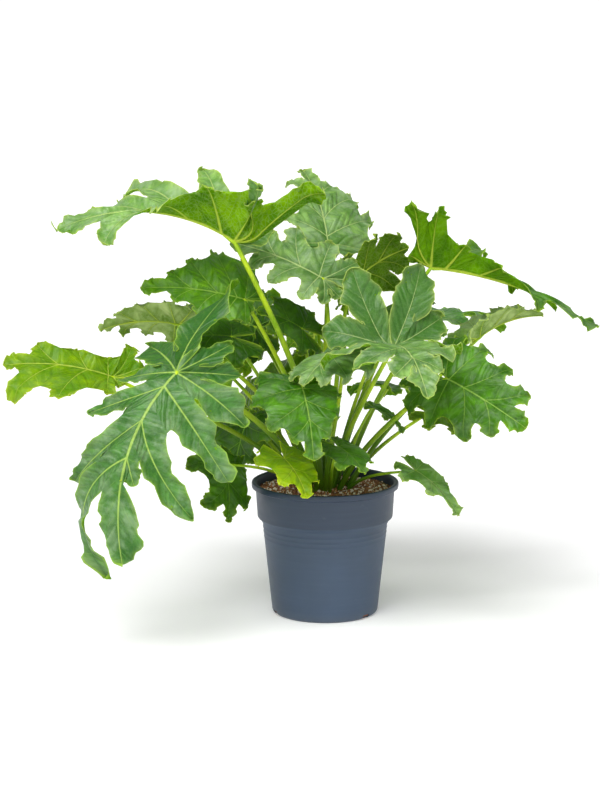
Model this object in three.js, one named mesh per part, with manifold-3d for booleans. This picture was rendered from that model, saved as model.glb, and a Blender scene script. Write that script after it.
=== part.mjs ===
// Lacy tree philodendron in a plastic nursery pot.
// Millimetres, +Z up. The origin is the middle of the pot's flat base, and the front is towards -Y.

import * as THREE from 'three';
import { mergeVertices } from 'three/addons/utils/BufferGeometryUtils.js';
import Module from 'manifold-3d';

const wasm = await Module();
wasm.setup();

// Pot

const POT_HEIGHT = 218;
const RIM_RADIUS = 120;
const RIM_DEPTH = 12;
const COLLAR_TOP_RADIUS = 113.5;
const COLLAR_FOOT_RADIUS = 110.5;
const COLLAR_DEPTH = 58;
const STEP_DEPTH = 67;
const BODY_TOP_RADIUS = 102;
const BASE_RADIUS = 87;
const BASE_ROUNDING = 6;
const WALL = 2;
const BASE_THICKNESS = 3;
const POT_SEGMENTS = 32;
const NOTCH_COUNT = 3;
const NOTCH_WIDTH = 16;
const NOTCH_HEIGHT = 4;
const NOTCH_LENGTH = 12;
const FIRST_NOTCH_DEGREES = -40;

// Soil

const SOIL_DROP = 15;
const SOIL_GAP = 0.4;
const SOIL_CROWN = 3;

// Leaf stalks and blades

const BLADE_THICKNESS = 0.8;
const RIB_DEPTH = 1.8;
const STALK_TOP_TAPER = 0.62;
const ROOT_DEPTH = 24;
const FOOT_RISE = 5;
const HOLE_GAP = 0.35;
const FEET_SPACING = 13.6;
const STALK_SIDES = 5;
const STALK_STEPS = 4;
const WEB_ROWS = 1;
const LOBE_ROWS = 3;
const RIPPLE = 0.05;
const REAR_ARC = 0.18;
const STALK_LEAN = 0.6;
const STALK_NOD = 0.25;
const LEAF_COLORS = { mature: 0x3f8a3a, hanging: 0x3f8a3a, middle: 0x3a7f30, young: 0x8fae1e };

// Leaf outlines
// A side lobe is [start on the midrib, angle of its tip, length, first angle of its vein], and may
// name its own web. Starts and lengths are fractions of the midrib's length, and angles are degrees
// from the midrib.

const OUTLINES = {
  mature: {
    lobes: [
      [0, 160, 0.50, 152],
      [0, 127, 0.46, 140],
      [0, 94, 0.44, 92],
      [0.08, 66, 0.50, 58],
      [0.27, 52, 0.46, 36],
      [0.50, 40, 0.34, 24],
    ],
    tipStart: 0.52,
    halfWidth: 0.065,
    tipHalfWidth: 0.10,
    sinus: 0.44,
    tipSinus: 0.36,
  },
  hanging: {
    left: [
      [0, 158, 0.24, 150, 0.75],
      [0, 106, 0.36, 108],
      [0, 76, 0.46, 74],
      [0.09, 56, 0.62, 56],
      [0.29, 46, 0.56, 28],
      [0.49, 30, 0.14, 28],
    ],
    right: [
      [0, 160, 0.44, 150, 0.75],
      [0, 120, 0.42, 130],
      [0, 92, 0.46, 92],
      [0.09, 64, 0.56, 58],
      [0.29, 48, 0.60, 40],
      [0.49, 24, 0.86, 60],
    ],
    tipStart: 0.54,
    halfWidth: 0.065,
    tipHalfWidth: 0.11,
    sinus: 0.35,
    tipSinus: 0.36,
  },
  middle: {
    lobes: [
      [0, 157, 0.46, 150],
      [0, 118, 0.44, 128],
      [0.04, 82, 0.46, 74],
      [0.24, 60, 0.44, 42],
      [0.50, 44, 0.32, 28],
    ],
    tipStart: 0.54,
    halfWidth: 0.082,
    tipHalfWidth: 0.11,
    sinus: 0.52,
    tipSinus: 0.36,
  },
  young: {
    lobes: [
      [0, 148, 0.46, 142],
      [0, 96, 0.46, 98],
      [0.3, 58, 0.42, 42],
    ],
    tipStart: 0.42,
    halfWidth: 0.115,
    tipHalfWidth: 0.14,
    sinus: 0.62,
    tipSinus: 0.36,
  },
};

// Leaves
// foot is [ring, place on the ring] in the bunch of stalks, seat is where the stalk meets the blade,
// and tip is the leaf's tip. roll turns the blade about the line from seat to tip and bend is how far
// the midrib arches over. fold lifts both halves from the midrib, leftFold only the left one, and
// tipFold is what the folds of the left and right half become at the tip. curl bows the halves down
// again and rear turns the basal lobes up. All of these are in degrees. sweep bows the midrib
// sideways. width scales all lobes, the lists left and right scale each lobe, and broad widens them.
// web is how far the lobes of the left and right half have grown together, from the midrib (0) to
// their tips (1), and tipWeb is the same for the tip. droop is how far the lobes sink towards their
// tips. lean is how far the stalk starts out of upright, and stalk is its radius at the soil.

const LEAVES = [
  {
    name: 'top_left', outline: 'mature', foot: [1, 4], seat: [-145, -40, 615], tip: [-430, -20, 630],
    roll: 5, bend: 60, fold: 62, tipFold: [-40, 20], curl: 12, rear: 60,
    left: [1.22, 0.85, 1.1, 0.62, 0.55, 0.95], right: [0.5, 0.5, 0.65, 0.95, 1.5, 1.4], web: [0.8, 0.3],
    tipWeb: 0.56, leftFold: 56, lean: 0.15, stalk: 6, seed: 1,
  },
  {
    name: 'top_back', outline: 'mature', foot: [1, 2], seat: [5, 90, 595], tip: [-36, 220, 703],
    roll: 10, bend: 40, fold: 10, curl: 25, rear: 20, web: [0.72, 0.7], tipWeb: 0.56,
    left: [0.3, 0.6, 1.1, 0.9, 0.9, 1.1], right: [0.3, 0.6, 1.5, 1.35, 1.45, 1.2], stalk: 5, seed: 2,
  },
  {
    name: 'upper_centre', outline: 'middle', foot: [0, 0], seat: [-4, -20, 553], tip: [-150, 40, 603],
    roll: -50, bend: 40, fold: 12, curl: 30, web: [0.5, 0.55], broad: 1.2,
    left: [0.55, 0.6, 0.65, 0.8, 0.9], right: [0.9, 0.9, 1, 1, 1], stalk: 4.5, seed: 3,
  },
  {
    name: 'upper_left', outline: 'mature', foot: [1, 3], seat: [-130, 20, 513], tip: [-297, 10, 533],
    roll: -50, bend: 40, fold: 8, curl: 30, left: [0.2, 0.3, 0.6, 0.7, 0.7, 0.7],
    right: [0.55, 0.55, 1.2, 1.2, 1.0, 0.9], web: [0.85, 0.85], tipWeb: 0.68, lean: 0.2, stalk: 5,
    seed: 4,
  },
  {
    name: 'inner_left', outline: 'young', foot: [2, 6], seat: [-150, -72, 467], tip: [-240, -82, 460],
    roll: -35, bend: 40, fold: 10, curl: 30, web: [0.85, 0.85], tipWeb: 0.68, width: 1.3, stalk: 4,
    seed: 5,
  },
  {
    name: 'left_back', outline: 'middle', foot: [2, 5], seat: [-240, 66, 466], tip: [-370, 70, 455],
    roll: 45, bend: 40, fold: 15, curl: 20, web: [0.8, 0.8], tipWeb: 0.63, lean: 0.15, stalk: 4.5,
    seed: 6,
  },
  {
    name: 'front_left', outline: 'hanging', foot: [2, 7], seat: [-230, -220, 435],
    tip: [-310, -310, 155], roll: -50, bend: 40, fold: -38, leftFold: 6, curl: 20, sweep: 0.13,
    left: [1.1, 0.8, 1.1, 1.05, 1, 1], right: [1.6, 1.15, 0.75, 0.75, 0.95, 1.05], broad: 1.1,
    droop: 0.03, tipFold: [6, -48], web: [0.35, 0.3], stalk: 5.5, seed: 7,
  },
  {
    name: 'far_left', outline: 'middle', foot: [3, 9], seat: [-340, -60, 400], tip: [-510, -90, 424],
    roll: -40, bend: 40, fold: 15, curl: 10, rear: 40, web: [0.85, 0.85], tipWeb: 0.68,
    left: [0.3, 0.3, 0.6, 1.2, 1.8], right: [0.7, 0.9, 0.4, 0.5, 0.9], stalk: 4.5, seed: 8,
  },
  {
    name: 'front_centre', outline: 'middle', foot: [2, 8], seat: [-38, -158, 402],
    tip: [-20, -244, 302], roll: 0, bend: 50, fold: 10, curl: 30, web: [0.85, 0.85], tipWeb: 0.68,
    left: [0.5, 0.7, 1, 1, 1], right: [0.6, 1.35, 1.45, 1.35, 1.1], stalk: 4.5, seed: 9,
  },
  {
    name: 'centre_shell', outline: 'middle', foot: [2, 9], seat: [26, -110, 446], tip: [-36, -190, 408],
    roll: 0, bend: 50, fold: 10, curl: 40, rear: 50, web: [0.85, 0.85], tipWeb: 0.68,
    left: [1.2, 1.4, 1.5, 1.5, 1.5], right: [1.6, 1.6, 1.6, 1.6, 1.6], stalk: 4.5, seed: 10,
  },
  {
    name: 'front_right', outline: 'middle', foot: [1, 5], seat: [105, -150, 465], tip: [150, -320, 412],
    roll: 0, bend: 60, fold: 8, curl: 20, rear: 85, web: [0.5, 0.5], broad: 1.5,
    left: [1.8, 1.35, 1.2, 1.0, 0.9], right: [1.7, 1.4, 1.5, 1.3, 1.0], stalk: 5, seed: 11,
  },
  {
    name: 'right', outline: 'middle', foot: [2, 11], seat: [190, -100, 405], tip: [310, -180, 340],
    roll: 55, bend: 40, fold: 8, curl: 25, width: 1.3, web: [0.72, 0.72], tipWeb: 0.63, stalk: 5,
    seed: 12,
  },
  {
    name: 'top_right', outline: 'mature', foot: [1, 0], seat: [170, 20, 565], tip: [440, 0, 470],
    roll: -15, bend: 28, fold: 55, leftFold: 40, tipFold: [5, -35], curl: 10,
    left: [0.3, 0.4, 0.6, 1.0, 0.8, 0.9], right: [0.3, 1.0, 0.95, 0.4, 0.42, 0.6], web: [0.5, 0.72],
    tipWeb: 0.6, rear: 28, stalk: 5, seed: 13,
  },
  {
    name: 'right_back', outline: 'middle', foot: [3, 0], seat: [250, 60, 443], tip: [360, 90, 476],
    roll: -10, bend: 40, fold: 40, curl: 20, width: 1.3, web: [0.65, 0.65], tipWeb: 0.49, stalk: 4.5,
    seed: 14,
  },
  {
    name: 'upper_back', outline: 'middle', foot: [1, 1], seat: [42, 74, 530], tip: [138, 100, 588],
    roll: -60, bend: 40, fold: 15, curl: 20, web: [0.55, 0.5], tipWeb: 0.54, width: 1.75, broad: 1.35,
    left: [0.5, 0.6, 0.9, 1, 1], right: [0.4, 0.5, 0.65, 0.9, 1], stalk: 5, seed: 15,
  },
  {
    name: 'inner_back', outline: 'young', foot: [2, 2], seat: [104, 124, 462], tip: [184, 180, 482],
    roll: 0, bend: 40, fold: 15, curl: 20, web: [0.8, 0.8], tipWeb: 0.63, stalk: 4, seed: 16,
  },
  {
    name: 'inner_upper', outline: 'young', foot: [2, 4], seat: [-38, 30, 464], tip: [-112, 22, 494],
    roll: -40, bend: 40, fold: 15, curl: 20, web: [0.8, 0.8], tipWeb: 0.63, width: 1.6, stalk: 4,
    seed: 17,
  },
  {
    name: 'lower_left', outline: 'middle', foot: [3, 8], seat: [-128, 42, 308], tip: [-152, 28, 170],
    roll: -15, bend: 30, fold: 10, curl: 20, width: 1.15, web: [0.75, 0.75], tipWeb: 0.58,
    left: [0.3, 0.9, 0.9, 0.7, 0.7], right: [0.3, 1.1, 1.4, 1.4, 1.4], lean: 0.9, stalk: 4.5, seed: 18,
  },
  {
    name: 'lower_left_far', outline: 'young', foot: [3, 7], seat: [-180, 76, 401], tip: [-214, 24, 314],
    roll: -20, bend: 30, fold: 10, curl: 20, web: [0.75, 0.75], tipWeb: 0.58, width: 1.35, stalk: 4,
    seed: 31,
  },
  {
    name: 'low_left', outline: 'young', foot: [3, 10], seat: [-164, -72, 260], tip: [-158, -98, 172],
    roll: -40, bend: 40, fold: 10, curl: 20, web: [0.75, 0.75], tipWeb: 0.58, left: [0.6, 1.2, 1.2],
    right: [0.6, 1.2, 1.2], width: 1.45, stalk: 3, seed: 19,
  },
  {
    name: 'young_front', outline: 'young', foot: [3, 12], seat: [-65, -150, 285], tip: [-30, -200, 233],
    roll: 0, bend: 40, fold: 10, curl: 20, width: 1.4, web: [0.88, 0.88], tipWeb: 0.7, stalk: 3,
    seed: 20,
  },
  {
    name: 'low_right', outline: 'young', foot: [3, 17], seat: [145, -60, 247], tip: [212, -90, 180],
    roll: 15, bend: 40, fold: 10, curl: 20, web: [0.85, 0.85], tipWeb: 0.68, width: 0.8, stalk: 3,
    seed: 21,
  },
  {
    name: 'small_front', outline: 'young', foot: [3, 14], seat: [20, -130, 300], tip: [60, -170, 265],
    roll: 0, bend: 40, fold: 10, curl: 20, web: [0.88, 0.88], tipWeb: 0.7, width: 1.5, stalk: 3,
    seed: 22,
  },
  {
    name: 'inner_right', outline: 'young', foot: [2, 0], seat: [76, -24, 345], tip: [124, -44, 305],
    left: [0.6, 0.8, 1], right: [0.5, 0.7, 0.8], roll: 0, bend: 40, fold: 10, curl: 20, web: [0.7, 0.7],
    tipWeb: 0.54, stalk: 3, seed: 23,
  },
  {
    name: 'under_right', outline: 'young', foot: [3, 1], seat: [170, 30, 325], tip: [235, 50, 285],
    roll: 30, bend: 40, fold: 10, curl: 20, web: [0.75, 0.75], tipWeb: 0.58, stalk: 4, seed: 24,
  },
  {
    name: 'back_left', outline: 'middle', foot: [2, 3], seat: [-116, 164, 446], tip: [-256, 334, 431],
    roll: -35, bend: 50, fold: 12, curl: 25, web: [0.6, 0.6], tipWeb: 0.45,
    right: [0.5, 0.6, 0.7, 0.8, 1], width: 1.25, left: [0.6, 0.7, 0.9, 1, 1], stalk: 5, seed: 26,
  },
  {
    name: 'back_right', outline: 'middle', foot: [3, 2], seat: [170, 200, 450], tip: [310, 330, 410],
    roll: 0, bend: 50, fold: 12, curl: 25, web: [0.6, 0.6], tipWeb: 0.45, stalk: 5, seed: 27,
  },
  {
    name: 'back_centre', outline: 'middle', foot: [3, 4], seat: [-10, 250, 430], tip: [-20, 430, 340],
    roll: 0, bend: 50, fold: 12, curl: 25, web: [0.6, 0.6], tipWeb: 0.45, stalk: 5, seed: 28,
  },
  {
    name: 'back_low_left', outline: 'young', foot: [3, 6], seat: [-90, 190, 320], tip: [-170, 300, 220],
    roll: -60, bend: 40, fold: 10, curl: 25, width: 1.5, stalk: 4, seed: 29,
  },
  {
    name: 'back_low_right', outline: 'young', foot: [3, 3], seat: [110, 190, 340], tip: [180, 310, 280],
    roll: 0, bend: 40, fold: 10, curl: 25, stalk: 4, seed: 30,
  },
];

// Shared tools

const UP = new THREE.Vector3(0, 0, 1);
const radians = THREE.MathUtils.degToRad;

function hash(seed, key) {
  const value = Math.sin(seed * 127.1 + key * 311.7) * 43758.5453;
  return value - Math.floor(value);
}

function spread(seed, key) {
  return 2 * hash(seed, key) - 1;
}

function solidOf(geometry) {
  geometry.deleteAttribute('normal');
  geometry.deleteAttribute('uv');
  const merged = mergeVertices(geometry, 1e-4);
  return new wasm.Manifold(new wasm.Mesh({
    numProp: 3,
    vertProperties: new Float32Array(merged.attributes.position.array),
    triVerts: new Uint32Array(merged.index.array),
  }));
}

function closedSolid(points, triangles) {
  return new wasm.Manifold(new wasm.Mesh({
    numProp: 3,
    vertProperties: new Float32Array(points.flatMap((point) => point.toArray())),
    triVerts: new Uint32Array(triangles.flat()),
  }));
}

function namedMesh(name, solid, color, roughness) {
  const mesh = solid.getMesh();
  const geometry = new THREE.BufferGeometry();
  geometry.setAttribute('position', new THREE.BufferAttribute(new Float32Array(mesh.vertProperties), 3));
  geometry.setIndex(new THREE.BufferAttribute(new Uint32Array(mesh.triVerts), 1));
  geometry.computeVertexNormals();
  const part = new THREE.Mesh(geometry, new THREE.MeshStandardMaterial({ color, roughness, metalness: 0 }));
  part.name = name;
  return part;
}

// A closed tube along a list of points, with its own radius at each point

function taperedTube(path, radiusAt, sides) {
  const points = [];
  const triangles = [];
  const last = path.length - 1;
  const side = new THREE.Vector3(1, 0, 0);
  path.forEach((center, ring) => {
    const along = path[Math.min(ring + 1, last)].clone().sub(path[Math.max(ring - 1, 0)]).normalize();
    side.addScaledVector(along, -side.dot(along)).normalize();
    const across = along.clone().cross(side);
    for (let step = 0; step < sides; step += 1) {
      const turn = (2 * Math.PI * step) / sides;
      points.push(center.clone()
        .addScaledVector(side, radiusAt(ring) * Math.cos(turn))
        .addScaledVector(across, radiusAt(ring) * Math.sin(turn)));
    }
  });
  for (let ring = 0; ring < last; ring += 1) {
    for (let step = 0; step < sides; step += 1) {
      const here = ring * sides + step;
      const beside = ring * sides + ((step + 1) % sides);
      triangles.push([here, beside, beside + sides], [here, beside + sides, here + sides]);
    }
  }
  for (let step = 1; step < sides - 1; step += 1) {
    triangles.push([0, step + 1, step]);
    triangles.push([last * sides, last * sides + step, last * sides + step + 1]);
  }
  return closedSolid(points, triangles);
}

// Pot: a turned shell with a rolled rim, a collar and a step, and drain notches at the bottom edge

function makePot() {
  const collarFoot = POT_HEIGHT - COLLAR_DEPTH;
  const bodyTop = POT_HEIGHT - STEP_DEPTH;
  const profile = [
    [0, 0],
    [BASE_RADIUS - BASE_ROUNDING, 0],
    [BASE_RADIUS - 0.3 * BASE_ROUNDING, 0.3 * BASE_ROUNDING],
    [BASE_RADIUS, BASE_ROUNDING],
    [BODY_TOP_RADIUS, bodyTop],
    [COLLAR_FOOT_RADIUS, collarFoot],
    [COLLAR_TOP_RADIUS, POT_HEIGHT - RIM_DEPTH],
    [RIM_RADIUS, POT_HEIGHT - 0.8 * RIM_DEPTH],
    [RIM_RADIUS, POT_HEIGHT - 2],
    [RIM_RADIUS - 2, POT_HEIGHT],
    [COLLAR_TOP_RADIUS, POT_HEIGHT - 1],
    ...innerProfile(0),
  ];
  const outline = profile.map(([radius, height]) => new THREE.Vector2(radius, height));
  let pot = solidOf(new THREE.LatheGeometry(outline, POT_SEGMENTS).rotateX(Math.PI / 2));
  for (let notch = 0; notch < NOTCH_COUNT; notch += 1) {
    const angle = radians(FIRST_NOTCH_DEGREES + (360 * notch) / NOTCH_COUNT);
    const box = new THREE.BoxGeometry(NOTCH_LENGTH, NOTCH_WIDTH, 2 * NOTCH_HEIGHT);
    box.translate(BASE_RADIUS, 0, 0).rotateZ(angle);
    pot = pot.subtract(solidOf(box));
  }
  return pot;
}

// The inner wall from the collar down to the axis, moved in by a gap

function innerProfile(gap) {
  const collarFoot = POT_HEIGHT - COLLAR_DEPTH;
  const bodyTop = POT_HEIGHT - STEP_DEPTH;
  return [
    [COLLAR_TOP_RADIUS - WALL - gap, POT_HEIGHT - SOIL_DROP],
    [COLLAR_FOOT_RADIUS - WALL - gap, collarFoot + gap],
    [BODY_TOP_RADIUS - WALL - gap, bodyTop + gap],
    [BASE_RADIUS - WALL - gap, BASE_THICKNESS + gap],
    [0, BASE_THICKNESS + gap],
  ];
}

function makeSoil(leaves) {
  const top = POT_HEIGHT - SOIL_DROP;
  const edge = COLLAR_TOP_RADIUS - WALL - SOIL_GAP;
  const profile = [
    ...innerProfile(SOIL_GAP).reverse(),
    [0.55 * edge, top + 0.7 * SOIL_CROWN],
    [0, top + SOIL_CROWN],
  ];
  const outline = profile.map(([radius, height]) => new THREE.Vector2(radius, height));
  let soil = solidOf(new THREE.LatheGeometry(outline, POT_SEGMENTS).rotateX(Math.PI / 2));
  const widen = HOLE_GAP / Math.cos(Math.PI / STALK_SIDES);
  leaves.forEach((leaf) => {
    const foot = footOf(leaf);
    const bottom = foot.clone().setZ(top - ROOT_DEPTH - HOLE_GAP);
    const hole = [bottom, foot.clone().setZ(top + ROOT_DEPTH)];
    soil = soil.subtract(taperedTube(hole, () => leaf.stalk + widen, STALK_SIDES));
  });
  return soil;
}

// Leaf placing
// The stalks stand in the soil on rings around the middle: one in the middle, then six more on
// each further ring.

function footOf(leaf) {
  const [ring, place] = leaf.foot;
  const angle = ring ? (2 * Math.PI * place) / (6 * ring) : 0;
  const radius = ring * FEET_SPACING;
  const height = POT_HEIGHT - SOIL_DROP + FOOT_RISE;
  return new THREE.Vector3(radius * Math.cos(angle), radius * Math.sin(angle), height);
}

// The blade's own directions at its seat: right, along the midrib, and up out of its upper side

function placeBlade(leaf) {
  const seat = new THREE.Vector3(...leaf.seat);
  const chord = new THREE.Vector3(...leaf.tip).sub(seat);
  const bend = radians(leaf.bend);
  const length = (chord.length() * (bend / 2)) / Math.sin(bend / 2);
  chord.normalize();
  const level = chord.clone().cross(UP).normalize();
  const face = level.clone().cross(chord);
  const roll = radians(leaf.roll);
  const right = level.clone().multiplyScalar(Math.cos(roll)).addScaledVector(face, -Math.sin(roll));
  const out = face.clone().multiplyScalar(Math.cos(roll)).addScaledVector(level, Math.sin(roll));
  const along = chord.clone().multiplyScalar(Math.cos(bend / 2)).addScaledVector(out, Math.sin(bend / 2));
  const up = out.clone().multiplyScalar(Math.cos(bend / 2)).addScaledVector(chord, -Math.sin(bend / 2));
  return { seat, right, along, up, length, bend };
}

// The midrib's arch, with a height above it, as distances along and above the blade's seat

function frontProfile(place, y, height) {
  const arc = place.length / place.bend;
  return [(arc + height) * Math.sin(y / arc), (arc + height) * Math.cos(y / arc) - arc];
}

// The basal lobes turn up behind the seat over a short arc, and then run straight

function rearProfile(leaf, place, back, height) {
  const raise = Math.max(radians(leaf.rear ?? 0), 0.001);
  const arcLength = REAR_ARC * place.length;
  const arc = arcLength / raise;
  const turn = Math.min(back, arcLength) / arc;
  const straight = Math.max(0, back - arcLength);
  return [
    -(arc - height) * Math.sin(turn) - straight * Math.cos(turn),
    arc - (arc - height) * Math.cos(turn) + straight * Math.sin(turn),
  ];
}

// How far a half is lifted from the midrib, which may change towards the leaf's tip

function foldAt(leaf, place, x, y) {
  const base = x < 0 ? leaf.leftFold ?? leaf.fold : leaf.fold;
  const tip = leaf.tipFold?.[x < 0 ? 0 : 1] ?? base;
  const ease = THREE.MathUtils.smoothstep(y, 0.15 * place.length, 0.75 * place.length);
  return THREE.MathUtils.lerp(base, tip, ease);
}

// Sideways bow of the midrib within the blade

function sweepAt(leaf, place, y) {
  const sweep = 4 * (leaf.sweep ?? 0) * y;
  return y < 0 ? sweep : sweep * (1 - y / place.length);
}

// Lays a point of the flat blade onto the arched, folded and bowed one

function layOut(leaf, place, x, y, lift) {
  const fold = radians(foldAt(leaf, place, x, y));
  const bow = Math.max(radians(leaf.curl), 0.001) / (0.4 * place.length);
  const slope = fold - bow * Math.abs(x);
  const side = Math.sign(x);
  const across = side * ((Math.sin(fold) - Math.sin(slope)) / bow - lift * Math.sin(slope));
  const height = (Math.cos(slope) - Math.cos(fold)) / bow + lift * Math.cos(slope);
  const [forward, rise] = y < 0
    ? rearProfile(leaf, place, -y, height)
    : frontProfile(place, y, height);
  return place.seat.clone()
    .addScaledVector(place.right, across + sweepAt(leaf, place, y))
    .addScaledVector(place.along, forward)
    .addScaledVector(place.up, rise);
}

// One lobe: its vein is a curve from the midrib to the lobe's tip

function makeLobe(leaf, outline, length, index, side) {
  const [start, angle, reach, lead, ownWeb] = lobeTable(outline, side)[index];
  const key = 20 * index + 5 * side;
  const ownSizes = side < 0 ? leaf.left : leaf.right;
  const size = (leaf.width ?? 1) * (ownSizes?.[index] ?? 1 + 0.14 * spread(leaf.seed, key));
  const tipAngle = radians(angle + 4 * spread(leaf.seed, key + 1));
  const leadAngle = radians(lead);
  const root = new THREE.Vector2(0, start * length);
  const lobeLength = reach * size * length;
  const heading = new THREE.Vector2(side * Math.sin(tipAngle), Math.cos(tipAngle));
  const leadHeading = new THREE.Vector2(side * Math.sin(leadAngle), Math.cos(leadAngle));
  return {
    vein: new THREE.QuadraticBezierCurve(
      root,
      root.clone().addScaledVector(leadHeading, 0.45 * lobeLength),
      root.clone().addScaledVector(heading, lobeLength),
    ),
    length: lobeLength,
    halfWidth: (leaf.broad ?? 1) * outline.halfWidth * length * Math.sqrt(size),
    sinus: leaf.web?.[side < 0 ? 0 : 1] ?? ownWeb ?? outline.sinus,
    droop: leaf.droop ?? 0.12 + 0.12 * spread(leaf.seed, key + 2),
    twist: 0.5 * spread(leaf.seed, key + 3),
    phase: hash(leaf.seed, key + 4),
  };
}

function makeTipLobe(leaf, outline, length) {
  const root = new THREE.Vector2(0, outline.tipStart * length);
  const tip = new THREE.Vector2(0, length);
  return {
    vein: new THREE.QuadraticBezierCurve(root, root.clone().lerp(tip, 0.5), tip),
    length: length - root.y,
    halfWidth: outline.tipHalfWidth * length,
    sinus: leaf.tipWeb ?? outline.tipSinus,
    droop: 0,
    twist: 0.3 * spread(leaf.seed, 7),
    phase: hash(leaf.seed, 8),
  };
}

// Half width of a free lobe from its sinus (0) to its round tip (1), with shallow waves

function lobeProfile(lobe, share) {
  const round = Math.sqrt(Math.max(0, 1 - share ** 3.2));
  const belly = 0.9 + 0.16 * Math.sin(Math.PI * share);
  const wave = 1 + 0.13 * Math.sin(2 * Math.PI * (1.6 * share + lobe.phase)) * Math.min(1, 4 * share);
  return lobe.halfWidth * round * belly * wave;
}

// A point where the webs of two neighbouring lobes meet, from the midrib (0) to the sinus (1)

function webPoint(lobe, neighbour, share) {
  const here = lobe.vein.getPoint(share * lobe.sinus);
  return here.lerp(neighbour.vein.getPoint(share * neighbour.sinus), 0.5);
}

// A margin point of a lobe, on the left (1) or right (-1) of its vein. share runs from 0 to 1 over
// the web, and again over the free lobe.

function marginPoint(lobe, neighbour, hand, share, free) {
  if (!free && neighbour) {
    return webPoint(lobe, neighbour, share);
  }
  const along = free ? lobe.sinus + (1 - lobe.sinus) * share : lobe.sinus * share;
  const center = lobe.vein.getPoint(along);
  const heading = lobe.vein.getTangent(along);
  const normal = new THREE.Vector2(-hand * heading.y, hand * heading.x);
  if (!free) {
    return center.addScaledVector(normal, lobeProfile(lobe, 0) * Math.sin((Math.PI / 2) * share));
  }
  const point = center.clone().addScaledVector(normal, lobeProfile(lobe, share));
  if (neighbour) {
    const rootHeading = lobe.vein.getTangent(lobe.sinus);
    const rootNormal = new THREE.Vector2(-hand * rootHeading.y, hand * rootHeading.x);
    const rest = webPoint(lobe, neighbour, 1)
      .sub(lobe.vein.getPoint(lobe.sinus))
      .addScaledVector(rootNormal, -lobeProfile(lobe, 0));
    point.addScaledVector(rest, (1 - share) ** 5);
  }
  return point;
}

// All points of one lobe, as rows of [right margin, vein, left margin] from the midrib outwards

function lobeRows(leaf, place, lobe, neighbours) {
  const rows = [];
  for (let row = 0; row <= WEB_ROWS + LOBE_ROWS; row += 1) {
    const free = row > WEB_ROWS;
    const share = free ? (1 - Math.cos((Math.PI * (row - WEB_ROWS)) / LOBE_ROWS)) / 2 : row / WEB_ROWS;
    const along = free ? lobe.sinus + (1 - lobe.sinus) * share : lobe.sinus * share;
    const vein = lobe.vein.getPoint(along);
    const loose = free ? share : 0;
    rows.push([-1, 0, 1].map((hand) => {
      const flat = hand ? marginPoint(lobe, neighbours[hand], hand, share, free) : vein;
      const offset = hand * flat.distanceTo(vein);
      const wave = Math.sin(2 * Math.PI * (1.2 * loose + lobe.phase + 0.3 * hand));
      const lift = lobe.twist * loose * offset - lobe.droop * lobe.length * loose ** 2
        + RIPPLE * lobe.length * Math.abs(hand) * Math.sqrt(loose) * wave;
      const onMidrib = Math.abs(flat.x) < 1e-6 && flat.y >= 0;
      const veinRib = hand ? 0 : 0.45 * (1 - along);
      const rib = onMidrib ? 1 - (0.85 * flat.y) / place.length : veinRib;
      return { flat, at: layOut(leaf, place, flat.x, flat.y, lift), rib: rib * RIB_DEPTH };
    }));
  }
  return rows;
}

// Every lobe of a blade with the lobes that it shares web edges with, on its right (-1) and left (1)

function lobeTable(outline, side) {
  const own = side < 0 ? outline.left : outline.right;
  return own ?? outline.lobes;
}

function bladeLobes(leaf, place) {
  const outline = OUTLINES[leaf.outline];
  const tipLobe = makeTipLobe(leaf, outline, place.length);
  const tipNeighbours = {};
  const parts = [{ lobe: tipLobe, neighbours: tipNeighbours }];
  [-1, 1].forEach((side) => {
    const table = lobeTable(outline, side);
    const lobes = table.map((_, index) => makeLobe(leaf, outline, place.length, index, side));
    lobes.forEach((lobe, index) => {
      parts.push({ lobe, neighbours: { [-side]: lobes[index - 1], [side]: lobes[index + 1] ?? tipLobe } });
    });
    tipNeighbours[-side] = lobes[lobes.length - 1];
  });
  return parts;
}

// The blade as one closed sheet, with both faces split into the same triangles

function makeBlade(leaf, place) {
  const points = [];
  const ribs = [];
  const triangles = [];
  const known = new Map();
  const indexOf = ({ flat, at, rib }) => {
    const key = `${Math.round(flat.x * 1000)} ${Math.round(flat.y * 1000)}`;
    if (!known.has(key)) {
      known.set(key, points.length);
      points.push(at);
      ribs.push(rib);
    }
    return known.get(key);
  };
  const addTriangle = (corners) => {
    if (new Set(corners).size === 3) {
      triangles.push(corners);
    }
  };
  bladeLobes(leaf, place).forEach(({ lobe, neighbours }) => {
    const rows = lobeRows(leaf, place, lobe, neighbours).map((row) => row.map(indexOf));
    for (let row = 0; row < rows.length - 1; row += 1) {
      const here = rows[row];
      const ahead = rows[row + 1];
      addTriangle([here[1], here[0], ahead[0]]);
      addTriangle([here[1], ahead[0], ahead[1]]);
      addTriangle([here[2], here[1], ahead[2]]);
      addTriangle([here[1], ahead[1], ahead[2]]);
    }
  });
  return thicken(points, ribs, triangles);
}

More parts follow.
